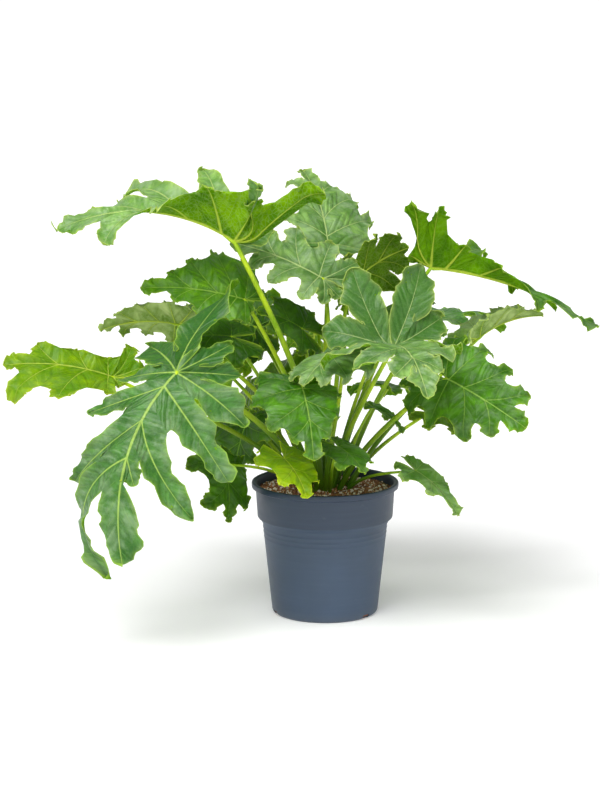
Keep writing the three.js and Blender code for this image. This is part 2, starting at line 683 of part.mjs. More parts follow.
function thicken(points, ribs, triangles) {
  const normals = points.map(() => new THREE.Vector3());
  triangles.forEach(([a, b, c]) => {
    const normal = points[b].clone().sub(points[a]).cross(points[c].clone().sub(points[a]));
    [a, b, c].forEach((corner) => normals[corner].add(normal));
  });
  normals.forEach((normal) => normal.normalize());
  const half = BLADE_THICKNESS / 2;
  const upper = points.map((point, index) => point.clone().addScaledVector(normals[index], half));
  const lower = points.map((point, index) => (
    point.clone().addScaledVector(normals[index], -half - ribs[index])));
  const edges = new Set(triangles.flatMap(([a, b, c]) => [`${a} ${b}`, `${b} ${c}`, `${c} ${a}`]));
  const faces = [];
  const under = points.length;
  triangles.forEach(([a, b, c]) => {
    faces.push([a, b, c], [c + under, b + under, a + under]);
    [[a, b], [b, c], [c, a]].filter(([from, to]) => !edges.has(`${to} ${from}`)).forEach(([from, to]) => {
      faces.push([to, from, from + under], [to, from + under, to + under]);
    });
  });
  return closedSolid([...upper, ...lower], faces);
}

// The stalk rises out of the soil, leans outwards and meets the blade from below

function makeStalk(leaf, place) {
  const foot = footOf(leaf);
  const reach = place.seat.clone().sub(foot);
  const span = reach.length();
  reach.normalize();
  const lean = leaf.lean ?? STALK_LEAN;
  const start = UP.clone().multiplyScalar(1 - lean).addScaledVector(reach, lean).normalize();
  const end = reach.clone().addScaledVector(place.along, STALK_NOD).normalize();
  const curve = new THREE.CubicBezierCurve3(
    foot,
    foot.clone().addScaledVector(start, 0.35 * span),
    place.seat.clone().addScaledVector(end, -0.3 * span),
    place.seat,
  );
  const path = [foot.clone().setZ(foot.z - FOOT_RISE - ROOT_DEPTH), ...curve.getPoints(STALK_STEPS)];
  const slimming = leaf.stalk * (1 - STALK_TOP_TAPER);
  const radiusAt = (ring) => leaf.stalk - slimming * Math.max(0, (ring - 1) / STALK_STEPS);
  return taperedTube(path, radiusAt, STALK_SIDES);
}

function makeLeaf(leaf) {
  const place = placeBlade(leaf);
  return makeBlade(leaf, place).add(makeStalk(leaf, place));
}

// The plant in its pot

const plant = new THREE.Group();
plant.add(namedMesh('pot', makePot(), 0x4a5a6b, 0.5));
plant.add(namedMesh('soil', makeSoil(LEAVES), 0x5a3a26, 0.95));
LEAVES.forEach((leaf) => {
  plant.add(namedMesh(`leaf_${leaf.name}`, makeLeaf(leaf), LEAF_COLORS[leaf.outline], 0.45));
});

export default plant;
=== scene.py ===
"""A potted lacy tree philodendron: finer leaves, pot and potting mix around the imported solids."""

import functools
import math

import bmesh
import bpy
import numpy as np
from mathutils import Matrix, Vector, noise


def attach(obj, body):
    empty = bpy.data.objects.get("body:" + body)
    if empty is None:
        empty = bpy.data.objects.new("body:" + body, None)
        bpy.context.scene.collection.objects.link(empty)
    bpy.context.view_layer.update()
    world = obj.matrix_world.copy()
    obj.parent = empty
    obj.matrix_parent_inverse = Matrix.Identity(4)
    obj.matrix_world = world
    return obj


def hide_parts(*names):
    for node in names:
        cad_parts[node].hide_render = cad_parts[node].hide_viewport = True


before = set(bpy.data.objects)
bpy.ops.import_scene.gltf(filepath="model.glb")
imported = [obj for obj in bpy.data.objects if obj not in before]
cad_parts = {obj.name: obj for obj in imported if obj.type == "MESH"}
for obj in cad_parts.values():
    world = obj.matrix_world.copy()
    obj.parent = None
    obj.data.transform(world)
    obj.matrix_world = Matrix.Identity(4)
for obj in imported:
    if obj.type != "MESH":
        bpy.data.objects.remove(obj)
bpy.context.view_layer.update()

MM = 0.001

# Camera, at the photograph's viewing angle

CAMERA_PLACE = (-0.041, -4.0, 1.088)
CAMERA_DOWN_DEGREES = 10.43
LENS_MM = 112.8
SENSOR_MM = 36

# Light: a wide soft key from the front left, a low fill from the right and a white sky

KEY_FROM = (-0.3, -0.6, 1)
KEY_STRENGTH = 3.3
KEY_SPREAD_DEGREES = 42
FILL_PLACE = (1.9, -2.6, 1.3)
FILL_TARGET = (0, 0, 0.4)
FILL_SIZE = 1.8
FILL_POWER = 10
HORIZON_STRENGTH = 1.05
ZENITH_STRENGTH = 0.3
SKY_FALL = (0.04, 0.28)
FLOOR_HALF_WIDTH = 30000
FLOOR_GREYS = (0.85, 0.88)
FLOOR_GLOW = 0.25

# The pot, in millimetres

POT_HEIGHT = 218
RIM_RADIUS = 120
RIM_DEPTH = 12
COLLAR_TOP_RADIUS = 113.5
COLLAR_FOOT_RADIUS = 110.5
STEP_DEPTH = 67
INNER_STEP_DEPTH = 57
BODY_TOP_RADIUS = 102
BASE_RADIUS = 87
BASE_ROUNDING = 7
POT_FLOOR = 3
WALL = 2
POT_SEGMENTS = 128
POT_SHARP_DEGREES = 35

# Three rings are moulded under the step; each is a row of (outward, up) offsets

RING_DROPS = (24, 16, 8)
RING_SHAPE = ((0, -1.1), (0.45, -0.3), (0.45, 0.3), (0.05, 1.1))

# The drain notches at the foot

NOTCH_DEGREES = (-40, 80, 200)
NOTCH_WIDTH = 16
NOTCH_HEIGHT = 7
NOTCH_DEPTH = 14
NOTCH_ROUNDING = 1.5

# The potting mix: each lump layer is (height, size, place in the noise)

SOIL_DROP = 15
SOIL_CROWN = 3
SOIL_RINGS = 40
SOIL_FOOT = 4
SOIL_GAP = 0.5
SOIL_EDGE_GAP = 0.3
SOIL_LUMPS = ((2.2, 26, 3), (1.3, 8, 8), (0.9, 2.6, 15))

# Loose grains on it; "stand" is the share of its size that a grain's centre stands above the soil

GRAINS = (
    dict(name="soil_crumbs", material="bark_crumb", count=1500, sizes=(0.8, 3.2), stand=0.25, seed=5,
         darkest=(104, 62, 40), brightest=(214, 154, 112), roughness=0.85),
    dict(name="soil_perlite", material="perlite", count=760, sizes=(1.0, 3.0), stand=0.5, seed=9,
         darkest=(250, 230, 222), brightest=(255, 242, 234), roughness=0.8),
)
GRAIN_SIZE_POWER = 2.2
GRAIN_FLATNESS = (0.55, 1.15)
GRAIN_ROUGHNESS = (0.75, 1.2)
STALK_CLEARANCE = 6
EDGE_CLEARANCE = 2

# Stalks

FEET_SPACING = 13.6
FOOT_RISE = 5
ROOT_DEPTH = 24
STALK_TOP_TAPER = 0.62
STALK_NOD = 0.25
STALK_GUIDES = (0.35, 0.3)
STALK_SINK = 0.55
STALK_SIDES = 12
STALK_STEPS = 26

# Under the blade a stalk runs on as (distance, radius), both in radii of its top

STALK_RUN_ON = ((1.2, 0.8), (3, 0.55), (5.5, 0.25))

# How a blade is bent: shares of its length

REAR_ARC = 0.18
TIP_FOLD_FROM = 0.15
TIP_FOLD_TO = 0.75
BOW_WIDTH = 0.4
LEAST_BEND = 0.001

# Lobes: how they vary from leaf to leaf, and the round sinus between two of them

SIZE_SPREAD = 0.14
ANGLE_SPREAD = 4
DROOP = 0.12
TWIST = 0.5
TIP_TWIST = 0.3
VEIN_GUIDE = 0.45
WIDEST_LOBE = 0.35
TIP_SINUS = 0.36
SINUS_SHARE = 0.3

# The margin of a lobe; each wave is (depth, waves along the lobe, shift)

TIP_ROUNDNESS = 3.2
BELLY = (0.9, 0.16)
MARGIN_WAVE = (0.13, 1.6, 1)
MARGIN_TEETH = ((0.09, 3.1, 5), (0.04, 5.3, 9))
TEETH_START = 4

# The height of a blade over its plane; each wave is (share, waves along, shift, waves across)

RIPPLE = 0.06
RIPPLE_WAVE = (1, 1.2, 1, 0.3)
FRILL = 0.022
FRILL_WAVES = ((1, 3.6, 3, 0.4), (0.5, 6.3, 7, 0.7))
BULGE = 0.028
TROUGH = 0.17

# The sheet of a blade: rows along a lobe, columns from its vein to its margin

BLADE_THICKNESS = 0.8
LOBE_ROWS = 32
LEAST_FREE_ROWS = 12
LEAST_WEB_ROWS = 8
COLUMNS = (0, 0.07, 0.15, 0.32, 0.55, 0.78, 0.93, 1)
JOIN_DISTANCE = 0.001
LEAF_SHARP_DEGREES = 50

# Veins, and the distances given where there is no margin or midrib near

VEIN_WIDTH = 1.5
VEIN_WIDTH_LENGTH = 250
VEIN_TAPER = 0.85
RIB_WIDTH = 2.4
RIB_TAPER = 0.7
LEAST_RIB_WIDTH = 0.8
SIDE_RIB = 0.45
UPPER_RIB_HEIGHT = 0.25
LOWER_RIB_HEIGHT = 1.8
FAR_FROM_TIP = 99.0
FAR_FROM_MARGIN = 40.0
FAR_FROM_MIDRIB = 60.0

# Leaf outlines; a lobe is (start on the midrib, angle of its tip, length, first angle of its vein) and,
# where it differs from the others, the share of it that is joined to its neighbours

OUTLINES = {
    "mature": dict(
        lobes=((0, 160, 0.5, 152), (0, 127, 0.46, 140), (0, 94, 0.44, 92), (0.08, 66, 0.5, 58),
               (0.27, 52, 0.46, 36), (0.5, 40, 0.34, 24)),
        tip_start=0.52, half_width=0.065, tip_half_width=0.1, sinus=0.44, slot="mature_leaf"),
    "hanging": dict(
        left=((0, 158, 0.24, 150, 0.75), (0, 106, 0.36, 108), (0, 76, 0.46, 74), (0.09, 56, 0.62, 56),
              (0.29, 46, 0.56, 28), (0.49, 30, 0.14, 28)),
        right=((0, 160, 0.44, 150, 0.75), (0, 120, 0.42, 130), (0, 92, 0.46, 92), (0.09, 64, 0.56, 58),
               (0.29, 48, 0.6, 40), (0.49, 24, 0.86, 60)),
        tip_start=0.54, half_width=0.065, tip_half_width=0.11, sinus=0.35, slot="mature_leaf"),
    "middle": dict(
        lobes=((0, 157, 0.46, 150), (0, 118, 0.44, 128), (0.04, 82, 0.46, 74), (0.24, 60, 0.44, 42),
               (0.5, 44, 0.32, 28)),
        tip_start=0.54, half_width=0.082, tip_half_width=0.11, sinus=0.52, slot="full_leaf"),
    "young": dict(
        lobes=((0, 148, 0.46, 142), (0, 96, 0.46, 98), (0.3, 58, 0.42, 42)),
        tip_start=0.42, half_width=0.115, tip_half_width=0.14, sinus=0.62, slot="young_leaf"),
}

# The leaves: name, outline, style, place of the foot (ring, place in it), where the blade starts and ends,
# radius of the stalk, seed, and how the blade is formed where it isn't as plain as most. Left and right
# give the sizes of its side lobes from the rear to the tip.

def leaf_of(name, outline, style, foot, seat, tip, stalk, seed, **form):
    plain = dict(roll=0, bend=40, fold=10, curl=20, rear=0, sweep=0, width=1, broad=1, lean=0.6)
    return plain | form | dict(name=name, outline=outline, style=style, foot=foot, seat=seat, tip=tip,
                               stalk=stalk, seed=seed)


LEAVES = [
    leaf_of("top_left", "mature", "pale", (1, 4), (-145, -40, 615), (-430, -20, 630), 6, 1, roll=5, bend=60,
            fold=62, left_fold=56, tip_fold=(-40, 20), curl=12, rear=60,
            left=(1.22, 0.85, 1.1, 0.62, 0.55, 0.95), right=(0.5, 0.5, 0.65, 0.95, 1.5, 1.4),
            web=(0.8, 0.3), tip_web=0.56, lean=0.15),
    leaf_of("top_back", "mature", "sage", (1, 2), (5, 90, 595), (-36, 220, 703), 5, 2, roll=10, curl=25,
            rear=20, left=(0.3, 0.6, 1.1, 0.9, 0.9, 1.1), right=(0.3, 0.6, 1.5, 1.35, 1.45, 1.2),
            web=(0.72, 0.7), tip_web=0.56),
    leaf_of("upper_centre", "middle", "sage", (0, 0), (-4, -20, 553), (-150, 40, 603), 4.5, 3, roll=-50,
            fold=12, curl=30, broad=1.2, left=(0.55, 0.6, 0.65, 0.8, 0.9), right=(0.9, 0.9, 1, 1, 1),
            web=(0.5, 0.55)),
    leaf_of("upper_left", "mature", "lit", (1, 3), (-130, 20, 513), (-297, 10, 533), 5, 4, roll=-50, fold=8,
            curl=30, left=(0.2, 0.3, 0.6, 0.7, 0.7, 0.7), right=(0.55, 0.55, 1.2, 1.2, 1, 0.9), web=0.85,
            tip_web=0.68, lean=0.2),
    leaf_of("inner_left", "young", "deep", (2, 6), (-150, -72, 467), (-240, -82, 460), 4, 5, roll=-35,
            curl=30, width=1.3, web=0.85, tip_web=0.68),
    leaf_of("left_back", "middle", "grey", (2, 5), (-240, 66, 466), (-370, 70, 455), 4.5, 6, roll=45,
            fold=15, web=0.8, tip_web=0.63, lean=0.15),
    leaf_of("front_left", "hanging", "cool", (2, 7), (-230, -220, 435), (-310, -310, 155), 5.5, 7, roll=-50,
            fold=-38, left_fold=6, tip_fold=(6, -48), sweep=0.13, broad=1.1,
            left=(1.1, 0.8, 1.1, 1.05, 1, 1), right=(1.6, 1.15, 0.75, 0.75, 0.95, 1.05), web=(0.35, 0.3),
            droop=0.03),
    leaf_of("far_left", "middle", "lime", (3, 9), (-340, -60, 400), (-510, -90, 424), 4.5, 8, roll=-40,
            fold=15, curl=10, rear=40, left=(0.3, 0.3, 0.6, 1.2, 1.8), right=(0.7, 0.9, 0.4, 0.5, 0.9),
            web=0.85, tip_web=0.68),
    leaf_of("front_centre", "middle", "fresh", (2, 8), (-38, -158, 402), (-20, -244, 302), 4.5, 9, bend=50,
            curl=30, left=(0.5, 0.7, 1, 1, 1), right=(0.6, 1.35, 1.45, 1.35, 1.1), web=0.85, tip_web=0.68),
    leaf_of("centre_shell", "middle", "sage", (2, 9), (26, -110, 446), (-36, -190, 408), 4.5, 10, bend=50,
            curl=40, rear=50, left=(1.2, 1.4, 1.5, 1.5, 1.5), right=(1.6, 1.6, 1.6, 1.6, 1.6), web=0.85,
            tip_web=0.68),
    leaf_of("front_right", "middle", "sage", (1, 5), (105, -150, 465), (150, -320, 412), 5, 11, bend=60,
            fold=8, rear=85, broad=1.5, left=(1.8, 1.35, 1.2, 1, 0.9), right=(1.7, 1.4, 1.5, 1.3, 1),
            web=0.5),
    leaf_of("right", "middle", "fresh", (2, 11), (190, -100, 405), (310, -180, 340), 5, 12, roll=55, fold=8,
            curl=25, width=1.3, web=0.72, tip_web=0.63),
    leaf_of("top_right", "mature", "fresh", (1, 0), (170, 20, 565), (440, 0, 470), 5, 13, roll=-15, bend=28,
            fold=55, left_fold=40, tip_fold=(5, -35), curl=10, rear=28, left=(0.3, 0.4, 0.6, 1, 0.8, 0.9),
            right=(0.3, 1, 0.95, 0.4, 0.42, 0.6), web=(0.5, 0.72), tip_web=0.6),
    leaf_of("right_back", "middle", "grey", (3, 0), (250, 60, 443), (360, 90, 476), 4.5, 14, roll=-10,
            fold=40, width=1.3, web=0.65, tip_web=0.49),
    leaf_of("upper_back", "middle", "striped", (1, 1), (42, 74, 530), (138, 100, 588), 5, 15, roll=-60,
            fold=15, width=1.75, broad=1.35, left=(0.5, 0.6, 0.9, 1, 1), right=(0.4, 0.5, 0.65, 0.9, 1),
            web=(0.55, 0.5), tip_web=0.54),
    leaf_of("inner_back", "young", "deep", (2, 2), (104, 124, 462), (184, 180, 482), 4, 16, fold=15,
            web=0.8, tip_web=0.63),
    leaf_of("inner_upper", "young", "deep", (2, 4), (-38, 30, 464), (-112, 22, 494), 4, 17, roll=-40,
            fold=15, width=1.6, web=0.8, tip_web=0.63),
    leaf_of("lower_left", "middle", "deep", (3, 8), (-128, 42, 308), (-152, 28, 170), 4.5, 18, roll=-15,
            bend=30, width=1.15, left=(0.3, 0.9, 0.9, 0.7, 0.7), right=(0.3, 1.1, 1.4, 1.4, 1.4), web=0.75,
            tip_web=0.58, lean=0.9),
    leaf_of("lower_left_far", "young", "lime", (3, 7), (-180, 76, 401), (-214, 24, 314), 4, 31, roll=-20,
            bend=30, width=1.35, web=0.75, tip_web=0.58),
    leaf_of("low_left", "young", "deep", (3, 10), (-164, -72, 260), (-158, -98, 172), 3, 19, roll=-40,
            width=1.45, left=(0.6, 1.2, 1.2), right=(0.6, 1.2, 1.2), web=0.75, tip_web=0.58),
    leaf_of("young_front", "young", "bright", (3, 12), (-65, -150, 285), (-30, -200, 233), 3, 20, width=1.4,
            web=0.88, tip_web=0.7),
    leaf_of("low_right", "young", "pale", (3, 17), (145, -60, 247), (212, -90, 180), 3, 21, roll=15,
            width=0.8, web=0.85, tip_web=0.68),
    leaf_of("small_front", "young", "fresh", (3, 14), (20, -130, 300), (60, -170, 265), 3, 22, width=1.5,
            web=0.88, tip_web=0.7),
    leaf_of("inner_right", "young", "fresh", (2, 0), (76, -24, 345), (124, -44, 305), 3, 23,
            left=(0.6, 0.8, 1), right=(0.5, 0.7, 0.8), web=0.7, tip_web=0.54),
    leaf_of("under_right", "young", "olive", (3, 1), (170, 30, 325), (235, 50, 285), 4, 24, roll=30,
            web=0.75, tip_web=0.58),
    leaf_of("back_left", "middle", "deep", (2, 3), (-116, 164, 446), (-256, 334, 431), 5, 26, roll=-35,
            bend=50, fold=12, curl=25, width=1.25, left=(0.6, 0.7, 0.9, 1, 1),
            right=(0.5, 0.6, 0.7, 0.8, 1), web=0.6, tip_web=0.45),
    leaf_of("back_right", "middle", "cool", (3, 2), (170, 200, 450), (310, 330, 410), 5, 27, bend=50,
            fold=12, curl=25, web=0.6, tip_web=0.45),
    leaf_of("back_centre", "middle", "sage", (3, 4), (-10, 250, 430), (-20, 430, 340), 5, 28, bend=50,
            fold=12, curl=25, web=0.6, tip_web=0.45),
    leaf_of("back_low_left", "young", "olive", (3, 6), (-90, 190, 320), (-170, 300, 220), 4, 29, roll=-60,
            curl=25, width=1.5),
    leaf_of("back_low_right", "young", "fresh", (3, 3), (110, 190, 340), (180, 310, 280), 4, 30, curl=25),
]


# Seeded numbers, the same as in the part's source

def frac_hash(seed, key):
    value = math.sin(seed * 127.1 + key * 311.7) * 43758.5453
    return value - math.floor(value)


def spread(seed, key):
    return 2 * frac_hash(seed, key) - 1


def unit(vector):
    return vector / np.linalg.norm(vector)


# Where a leaf's stalk stands and how its blade lies

def foot_of(leaf):
    ring, place = leaf["foot"]
    angle = 2 * math.pi * place / (6 * ring) if ring else 0
    radius = ring * FEET_SPACING
    return np.array([radius * math.cos(angle), radius * math.sin(angle), POT_HEIGHT - SOIL_DROP + FOOT_RISE])


def place_blade(leaf):
    seat = np.array(leaf["seat"], float)
    chord = np.array(leaf["tip"], float) - seat
    bend = math.radians(leaf["bend"])
    length = np.linalg.norm(chord) * (bend / 2) / math.sin(bend / 2)
    chord = unit(chord)
    level = unit(np.cross(chord, (0, 0, 1)))
    face = np.cross(level, chord)
    roll = math.radians(leaf["roll"])
    right = level * math.cos(roll) - face * math.sin(roll)
    out = face * math.cos(roll) + level * math.sin(roll)
    along = chord * math.cos(bend / 2) + out * math.sin(bend / 2)
    up = out * math.cos(bend / 2) - chord * math.sin(bend / 2)
    return dict(seat=seat, right=right, along=along, up=up, length=length, bend=bend)


def smoothstep(value, low, high):
    share = np.clip((value - low) / (high - low), 0, 1)
    return share * share * (3 - 2 * share)


def lay_out(leaf, place, x, y, lift):
    """Lays points of the flat blade onto the arched, folded and bowed one."""
    length = place["length"]

    # Across the midrib: each half is raised by its fold and bows down towards its margin
    folds = (leaf.get("left_fold", leaf["fold"]), leaf["fold"])
    base = np.where(x < 0, *folds)
    at_tip = np.where(x < 0, *leaf.get("tip_fold", folds))
    fold = np.radians(base + (at_tip - base) * smoothstep(y, TIP_FOLD_FROM * length, TIP_FOLD_TO * length))
    bow = max(math.radians(leaf["curl"]), LEAST_BEND) / (BOW_WIDTH * length)
    slope = fold - bow * np.abs(x)
    across = np.sign(x) * ((np.sin(fold) - np.sin(slope)) / bow - lift * np.sin(slope))
    height = (np.cos(slope) - np.cos(fold)) / bow + lift * np.cos(slope)

    # Along the midrib: an arch to the tip, and a rear that turns up in a short arc and runs on straight
    arc = length / place["bend"]
    rear_arc = REAR_ARC * length / max(math.radians(leaf["rear"]), LEAST_BEND)
    back = np.maximum(-y, 0)
    turn = np.minimum(back, REAR_ARC * length) / rear_arc
    straight = np.maximum(0, back - REAR_ARC * length)
    rear_forward = -(rear_arc - height) * np.sin(turn) - straight * np.cos(turn)
    rear_rise = rear_arc - (rear_arc - height) * np.cos(turn) + straight * np.sin(turn)
    forward = np.where(y < 0, rear_forward, (arc + height) * np.sin(y / arc))
    rise = np.where(y < 0, rear_rise, (arc + height) * np.cos(y / arc) - arc)
    sweep = 4 * leaf["sweep"] * y * np.where(y < 0, 1, 1 - y / length)
    return (place["seat"] + (across + sweep)[..., None] * place["right"]
            + forward[..., None] * place["along"] + rise[..., None] * place["up"])


# Lobes

def vein_point(lobe, share):
    share = np.asarray(share, float)[..., None]
    root, middle, tip = lobe["vein"]
    return (1 - share) ** 2 * root + 2 * (1 - share) * share * middle + share ** 2 * tip


def vein_heading(lobe, share):
    share = np.asarray(share, float)[..., None]
    root, middle, tip = lobe["vein"]
    heading = (1 - share) * (middle - root) + share * (tip - middle)
    return heading / np.linalg.norm(heading, axis=-1, keepdims=True)


def towards(degrees, side):
    """The direction at this angle from the midrib, on this side of it."""
    angle = math.radians(degrees)
    return np.array([side * math.sin(angle), math.cos(angle)])


def side_values(table, side):
    return table.get("left") if side < 0 else table.get("right")


def make_lobe(leaf, outline, length, index, side):
    start, angle, reach, lead, *own_web = (side_values(outline, side) or outline["lobes"])[index]
    web = np.broadcast_to(leaf.get("web", own_web or outline["sinus"]), 2)
    key = 20 * index + 5 * side
    seed = leaf["seed"]
    sizes = side_values(leaf, side)
    size = leaf["width"] * (sizes[index] if sizes else 1 + SIZE_SPREAD * spread(seed, key))
    root = np.array([0, start * length])
    lobe_length = reach * size * length
    heading = towards(angle + ANGLE_SPREAD * spread(seed, key + 1), side)
    half_width = leaf["broad"] * outline["half_width"] * length * math.sqrt(size)
    return dict(
        vein=(root, root + VEIN_GUIDE * lobe_length * towards(lead, side), root + lobe_length * heading),
        length=lobe_length,
        half_width=min(half_width, WIDEST_LOBE * lobe_length),
        sinus=web[0 if side < 0 else 1],
        droop=leaf.get("droop", DROOP + DROOP * spread(seed, key + 2)),
        twist=TWIST * spread(seed, key + 3),
        phase=frac_hash(seed, key + 4),
    )


def make_tip_lobe(leaf, outline, length):
    root = np.array([0, outline["tip_start"] * length])
    tip = np.array([0, length])
    return dict(
        vein=(root, (root + tip) / 2, tip),
        length=length - root[1],
        half_width=outline["tip_half_width"] * length,
        sinus=leaf.get("tip_web", TIP_SINUS),
        droop=0,
        twist=TIP_TWIST * spread(leaf["seed"], 7),
        phase=frac_hash(leaf["seed"], 8),
    )


def blade_lobes(leaf, length):
    """The lobes of a blade, each with the lobe next to it on its left (-1) and on its right (1)."""
    outline = OUTLINES[leaf["outline"]]
    tip_lobe = make_tip_lobe(leaf, outline, length)
    tip_neighbours = {}
    parts = [(tip_lobe, tip_neighbours)]
    for side in (-1, 1):
        count = len(side_values(outline, side) or outline["lobes"])
        lobes = [make_lobe(leaf, outline, length, index, side) for index in range(count)]
        for lobe, before, after in zip(lobes, [None] + lobes, lobes[1:] + [tip_lobe]):
            parts.append((lobe, {-side: before, side: after}))
        tip_neighbours[-side] = lobes[-1]
    return parts


def margin_wave(lobe, share, depth, waves, shift):
    return depth * np.sin(2 * math.pi * (waves * share + shift * lobe["phase"]))


def lobe_profile(lobe, share):
    """Half width of a free lobe from its sinus to its round tip, with shallow waves and fine teeth."""
    round_end = np.sqrt(np.maximum(0, 1 - share ** TIP_ROUNDNESS))
    belly = BELLY[0] + BELLY[1] * np.sin(math.pi * share)
    started = np.minimum(1, TEETH_START * share)
    wave = 1 + started * margin_wave(lobe, share, *MARGIN_WAVE)
    teeth = 1 + started * sum(margin_wave(lobe, share, *row) for row in MARGIN_TEETH)
    return lobe["half_width"] * round_end * belly * wave * teeth


def web_point(lobe, neighbour, share):
    here = vein_point(lobe, share * lobe["sinus"])
    return (here + vein_point(neighbour, share * neighbour["sinus"])) / 2


def side_normal(heading, hand):
    return np.stack([-hand * heading[..., 1], hand * heading[..., 0]], -1)


def kept_ahead(margin, start, vein, heading):
    """The margin, but never running back, so that the sheet doesn't fold over itself in a sinus."""
    last = start
    for row in range(len(margin) - 1):
        across = unit(margin[row] - vein[row])
        ahead = unit(heading[row] - (heading[row] @ across) * across)
        margin[row] += ahead * max(0, (last - margin[row]) @ ahead)
        last = margin[row]
    return margin


def margin_points(lobe, neighbour, hand, web, free):
    """The margin on one side of a lobe: along the web, then around the free lobe with a round sinus."""
    sinus = lobe["sinus"]
    root_width = lobe_profile(lobe, np.zeros(1))
    along = sinus + (1 - sinus) * free
    vein = vein_point(lobe, along)
    heading = vein_heading(lobe, along)
    outer = vein + side_normal(heading, hand) * lobe_profile(lobe, free)[:, None]
    if not neighbour:
        normal = side_normal(vein_heading(lobe, sinus * web), hand)
        inner = vein_point(lobe, sinus * web) + normal * (root_width * np.sin(math.pi / 2 * web))[:, None]
        return np.concatenate([inner, outer])
    inner = web_point(lobe, neighbour, web)
    root_normal = side_normal(vein_heading(lobe, sinus), hand)
    rest = web_point(lobe, neighbour, np.float64(1)) - vein_point(lobe, sinus) - root_normal * root_width
    turn = np.minimum(1, free / SINUS_SHARE)
    fade = 1 - np.sqrt(np.maximum(0, 2 * turn - turn ** 2))
    outer = kept_ahead(outer + rest * fade[:, None], inner[-1], vein, heading)
    return np.concatenate([inner, outer])


def flat_lobe(lobe, neighbours, web_rows):
    """A lobe in the plane of its blade, as rows along its vein and columns across it."""
    sinus = lobe["sinus"]
    free_rows = max(LEAST_FREE_ROWS, round(LOBE_ROWS * (1 - sinus)))
    web = np.linspace(0, 1, web_rows + 1)
    free = (1 - np.cos(math.pi * np.arange(1, free_rows + 1) / free_rows)) / 2
    along = np.concatenate([sinus * web, sinus + (1 - sinus) * free])
    loose = np.concatenate([np.zeros(len(web)), free])
    vein = vein_point(lobe, along)
    hands = np.array([-share for share in COLUMNS[:0:-1]] + list(COLUMNS))
    margins = {side: margin_points(lobe, neighbours.get(side), side, web, free) for side in (-1, 1)}
    flat = np.empty((len(along), len(hands), 2))
    edge = np.empty((len(along), len(hands)))
    to_tip = np.where(loose > 0, (1 - loose) * lobe["length"] * (1 - sinus), FAR_FROM_TIP)
    for column, hand in enumerate(hands):
        side = -1 if hand < 0 else 1
        out = margins[side] - vein
        flat[:, column] = vein + out * abs(hand)
        gap = (1 - abs(hand)) * np.linalg.norm(out, axis=1)
        if neighbours.get(side):
            gap = np.where(np.arange(len(along)) < len(web), FAR_FROM_MARGIN, gap)
        edge[:, column] = np.minimum(gap, to_tip)
    offset = np.linalg.norm(flat - vein[:, None], axis=2) * np.sign(hands)
    return dict(flat=flat, edge=edge, offset=offset, along=along[:, None], loose=loose[:, None], hands=hands)


def height_wave(lobe, grid, share, waves, shift, across):
    turns = waves * grid["loose"] + shift * lobe["phase"] + across * grid["hands"]
    return share * np.sin(2 * math.pi * turns)


def blade_lift(place, lobe, grid):
    """How far the points of a lobe stand above the plane of the blade."""
    loose = grid["loose"]
    free = np.sqrt(loose)
    reach = np.abs(grid["hands"])[None]
    start = np.where(loose > 0, (1 - loose) ** 3, np.sin(math.pi / 2 * grid["along"] / lobe["sinus"]))
    ripple = height_wave(lobe, grid, *RIPPLE_WAVE)
    frill = sum(height_wave(lobe, grid, *row) for row in FRILL_WAVES)
    return (lobe["twist"] * loose * grid["offset"] - lobe["droop"] * lobe["length"] * loose ** 2
            + RIPPLE * lobe["length"] * reach ** 1.4 * free * ripple
            + FRILL * lobe["length"] * reach ** 3 * free * frill
            + BULGE * place["length"] * reach ** 1.6 * start
            + TROUGH * lobe["half_width"] * reach ** 1.5 * free)


def lobe_grid(leaf, place, lobe, neighbours, web_rows):
    """Places, rib heights and surface facts of the points of one lobe."""
    grid = flat_lobe(lobe, neighbours, web_rows)
    length = place["length"]
    x, y = grid["flat"][..., 0], grid["flat"][..., 1]
    offset, along = grid["offset"], grid["along"] + np.zeros_like(x)
    width = VEIN_WIDTH * (1 - VEIN_TAPER * along) * length / VEIN_WIDTH_LENGTH
    midrib = np.where(y >= 0, np.abs(x), FAR_FROM_MIDRIB)
    rib_width = np.maximum(RIB_WIDTH * (1 - RIB_TAPER * y / length), LEAST_RIB_WIDTH)
    midrib_rib = (1 - VEIN_TAPER * np.clip(y / length, 0, 1)) * np.exp(-(midrib / rib_width) ** 2)
    side_rib = SIDE_RIB * (1 - along) * np.exp(-(offset / (RIB_TAPER * RIB_WIDTH)) ** 2)
    tone = np.full_like(x, lobe["phase"])
    facts = (x, y, tone, np.abs(offset), along * lobe["length"], grid["edge"], midrib, width)
    at = lay_out(leaf, place, x, y, blade_lift(place, lobe, grid))
    return dict(at=at, rib=np.maximum(midrib_rib, side_rib), facts=np.stack(facts, -1))


# A blade: the lobes joined to one sheet, and the sheet made a closed solid

def grid_quads(rows, columns, first):
    index = np.arange(rows * columns).reshape(rows, columns) + first
    corners = (index[:-1, 1:], index[:-1, :-1], index[1:, :-1], index[1:, 1:])
    return np.stack(corners, -1).reshape(-1, 4).tolist()


def joined_faces(quads, joined):
    """The faces that are left when corners in one place become one."""
    faces = []
    for quad in quads:
        corners = []
        for corner in quad:
            if not any(joined[corner] == joined[other] for other in corners):
                corners.append(corner)
        if len(corners) > 2:
            faces.append(corners)
    return faces


def sheet_normals(places, faces):
    normals = np.zeros_like(places)
    for face in faces:
        spokes = places[face[1:]] - places[face[0]]
        normals[face] += np.cross(spokes[:-1], spokes[1:]).sum(axis=0)
    return normals / np.maximum(np.linalg.norm(normals, axis=1, keepdims=True), 1e-9)


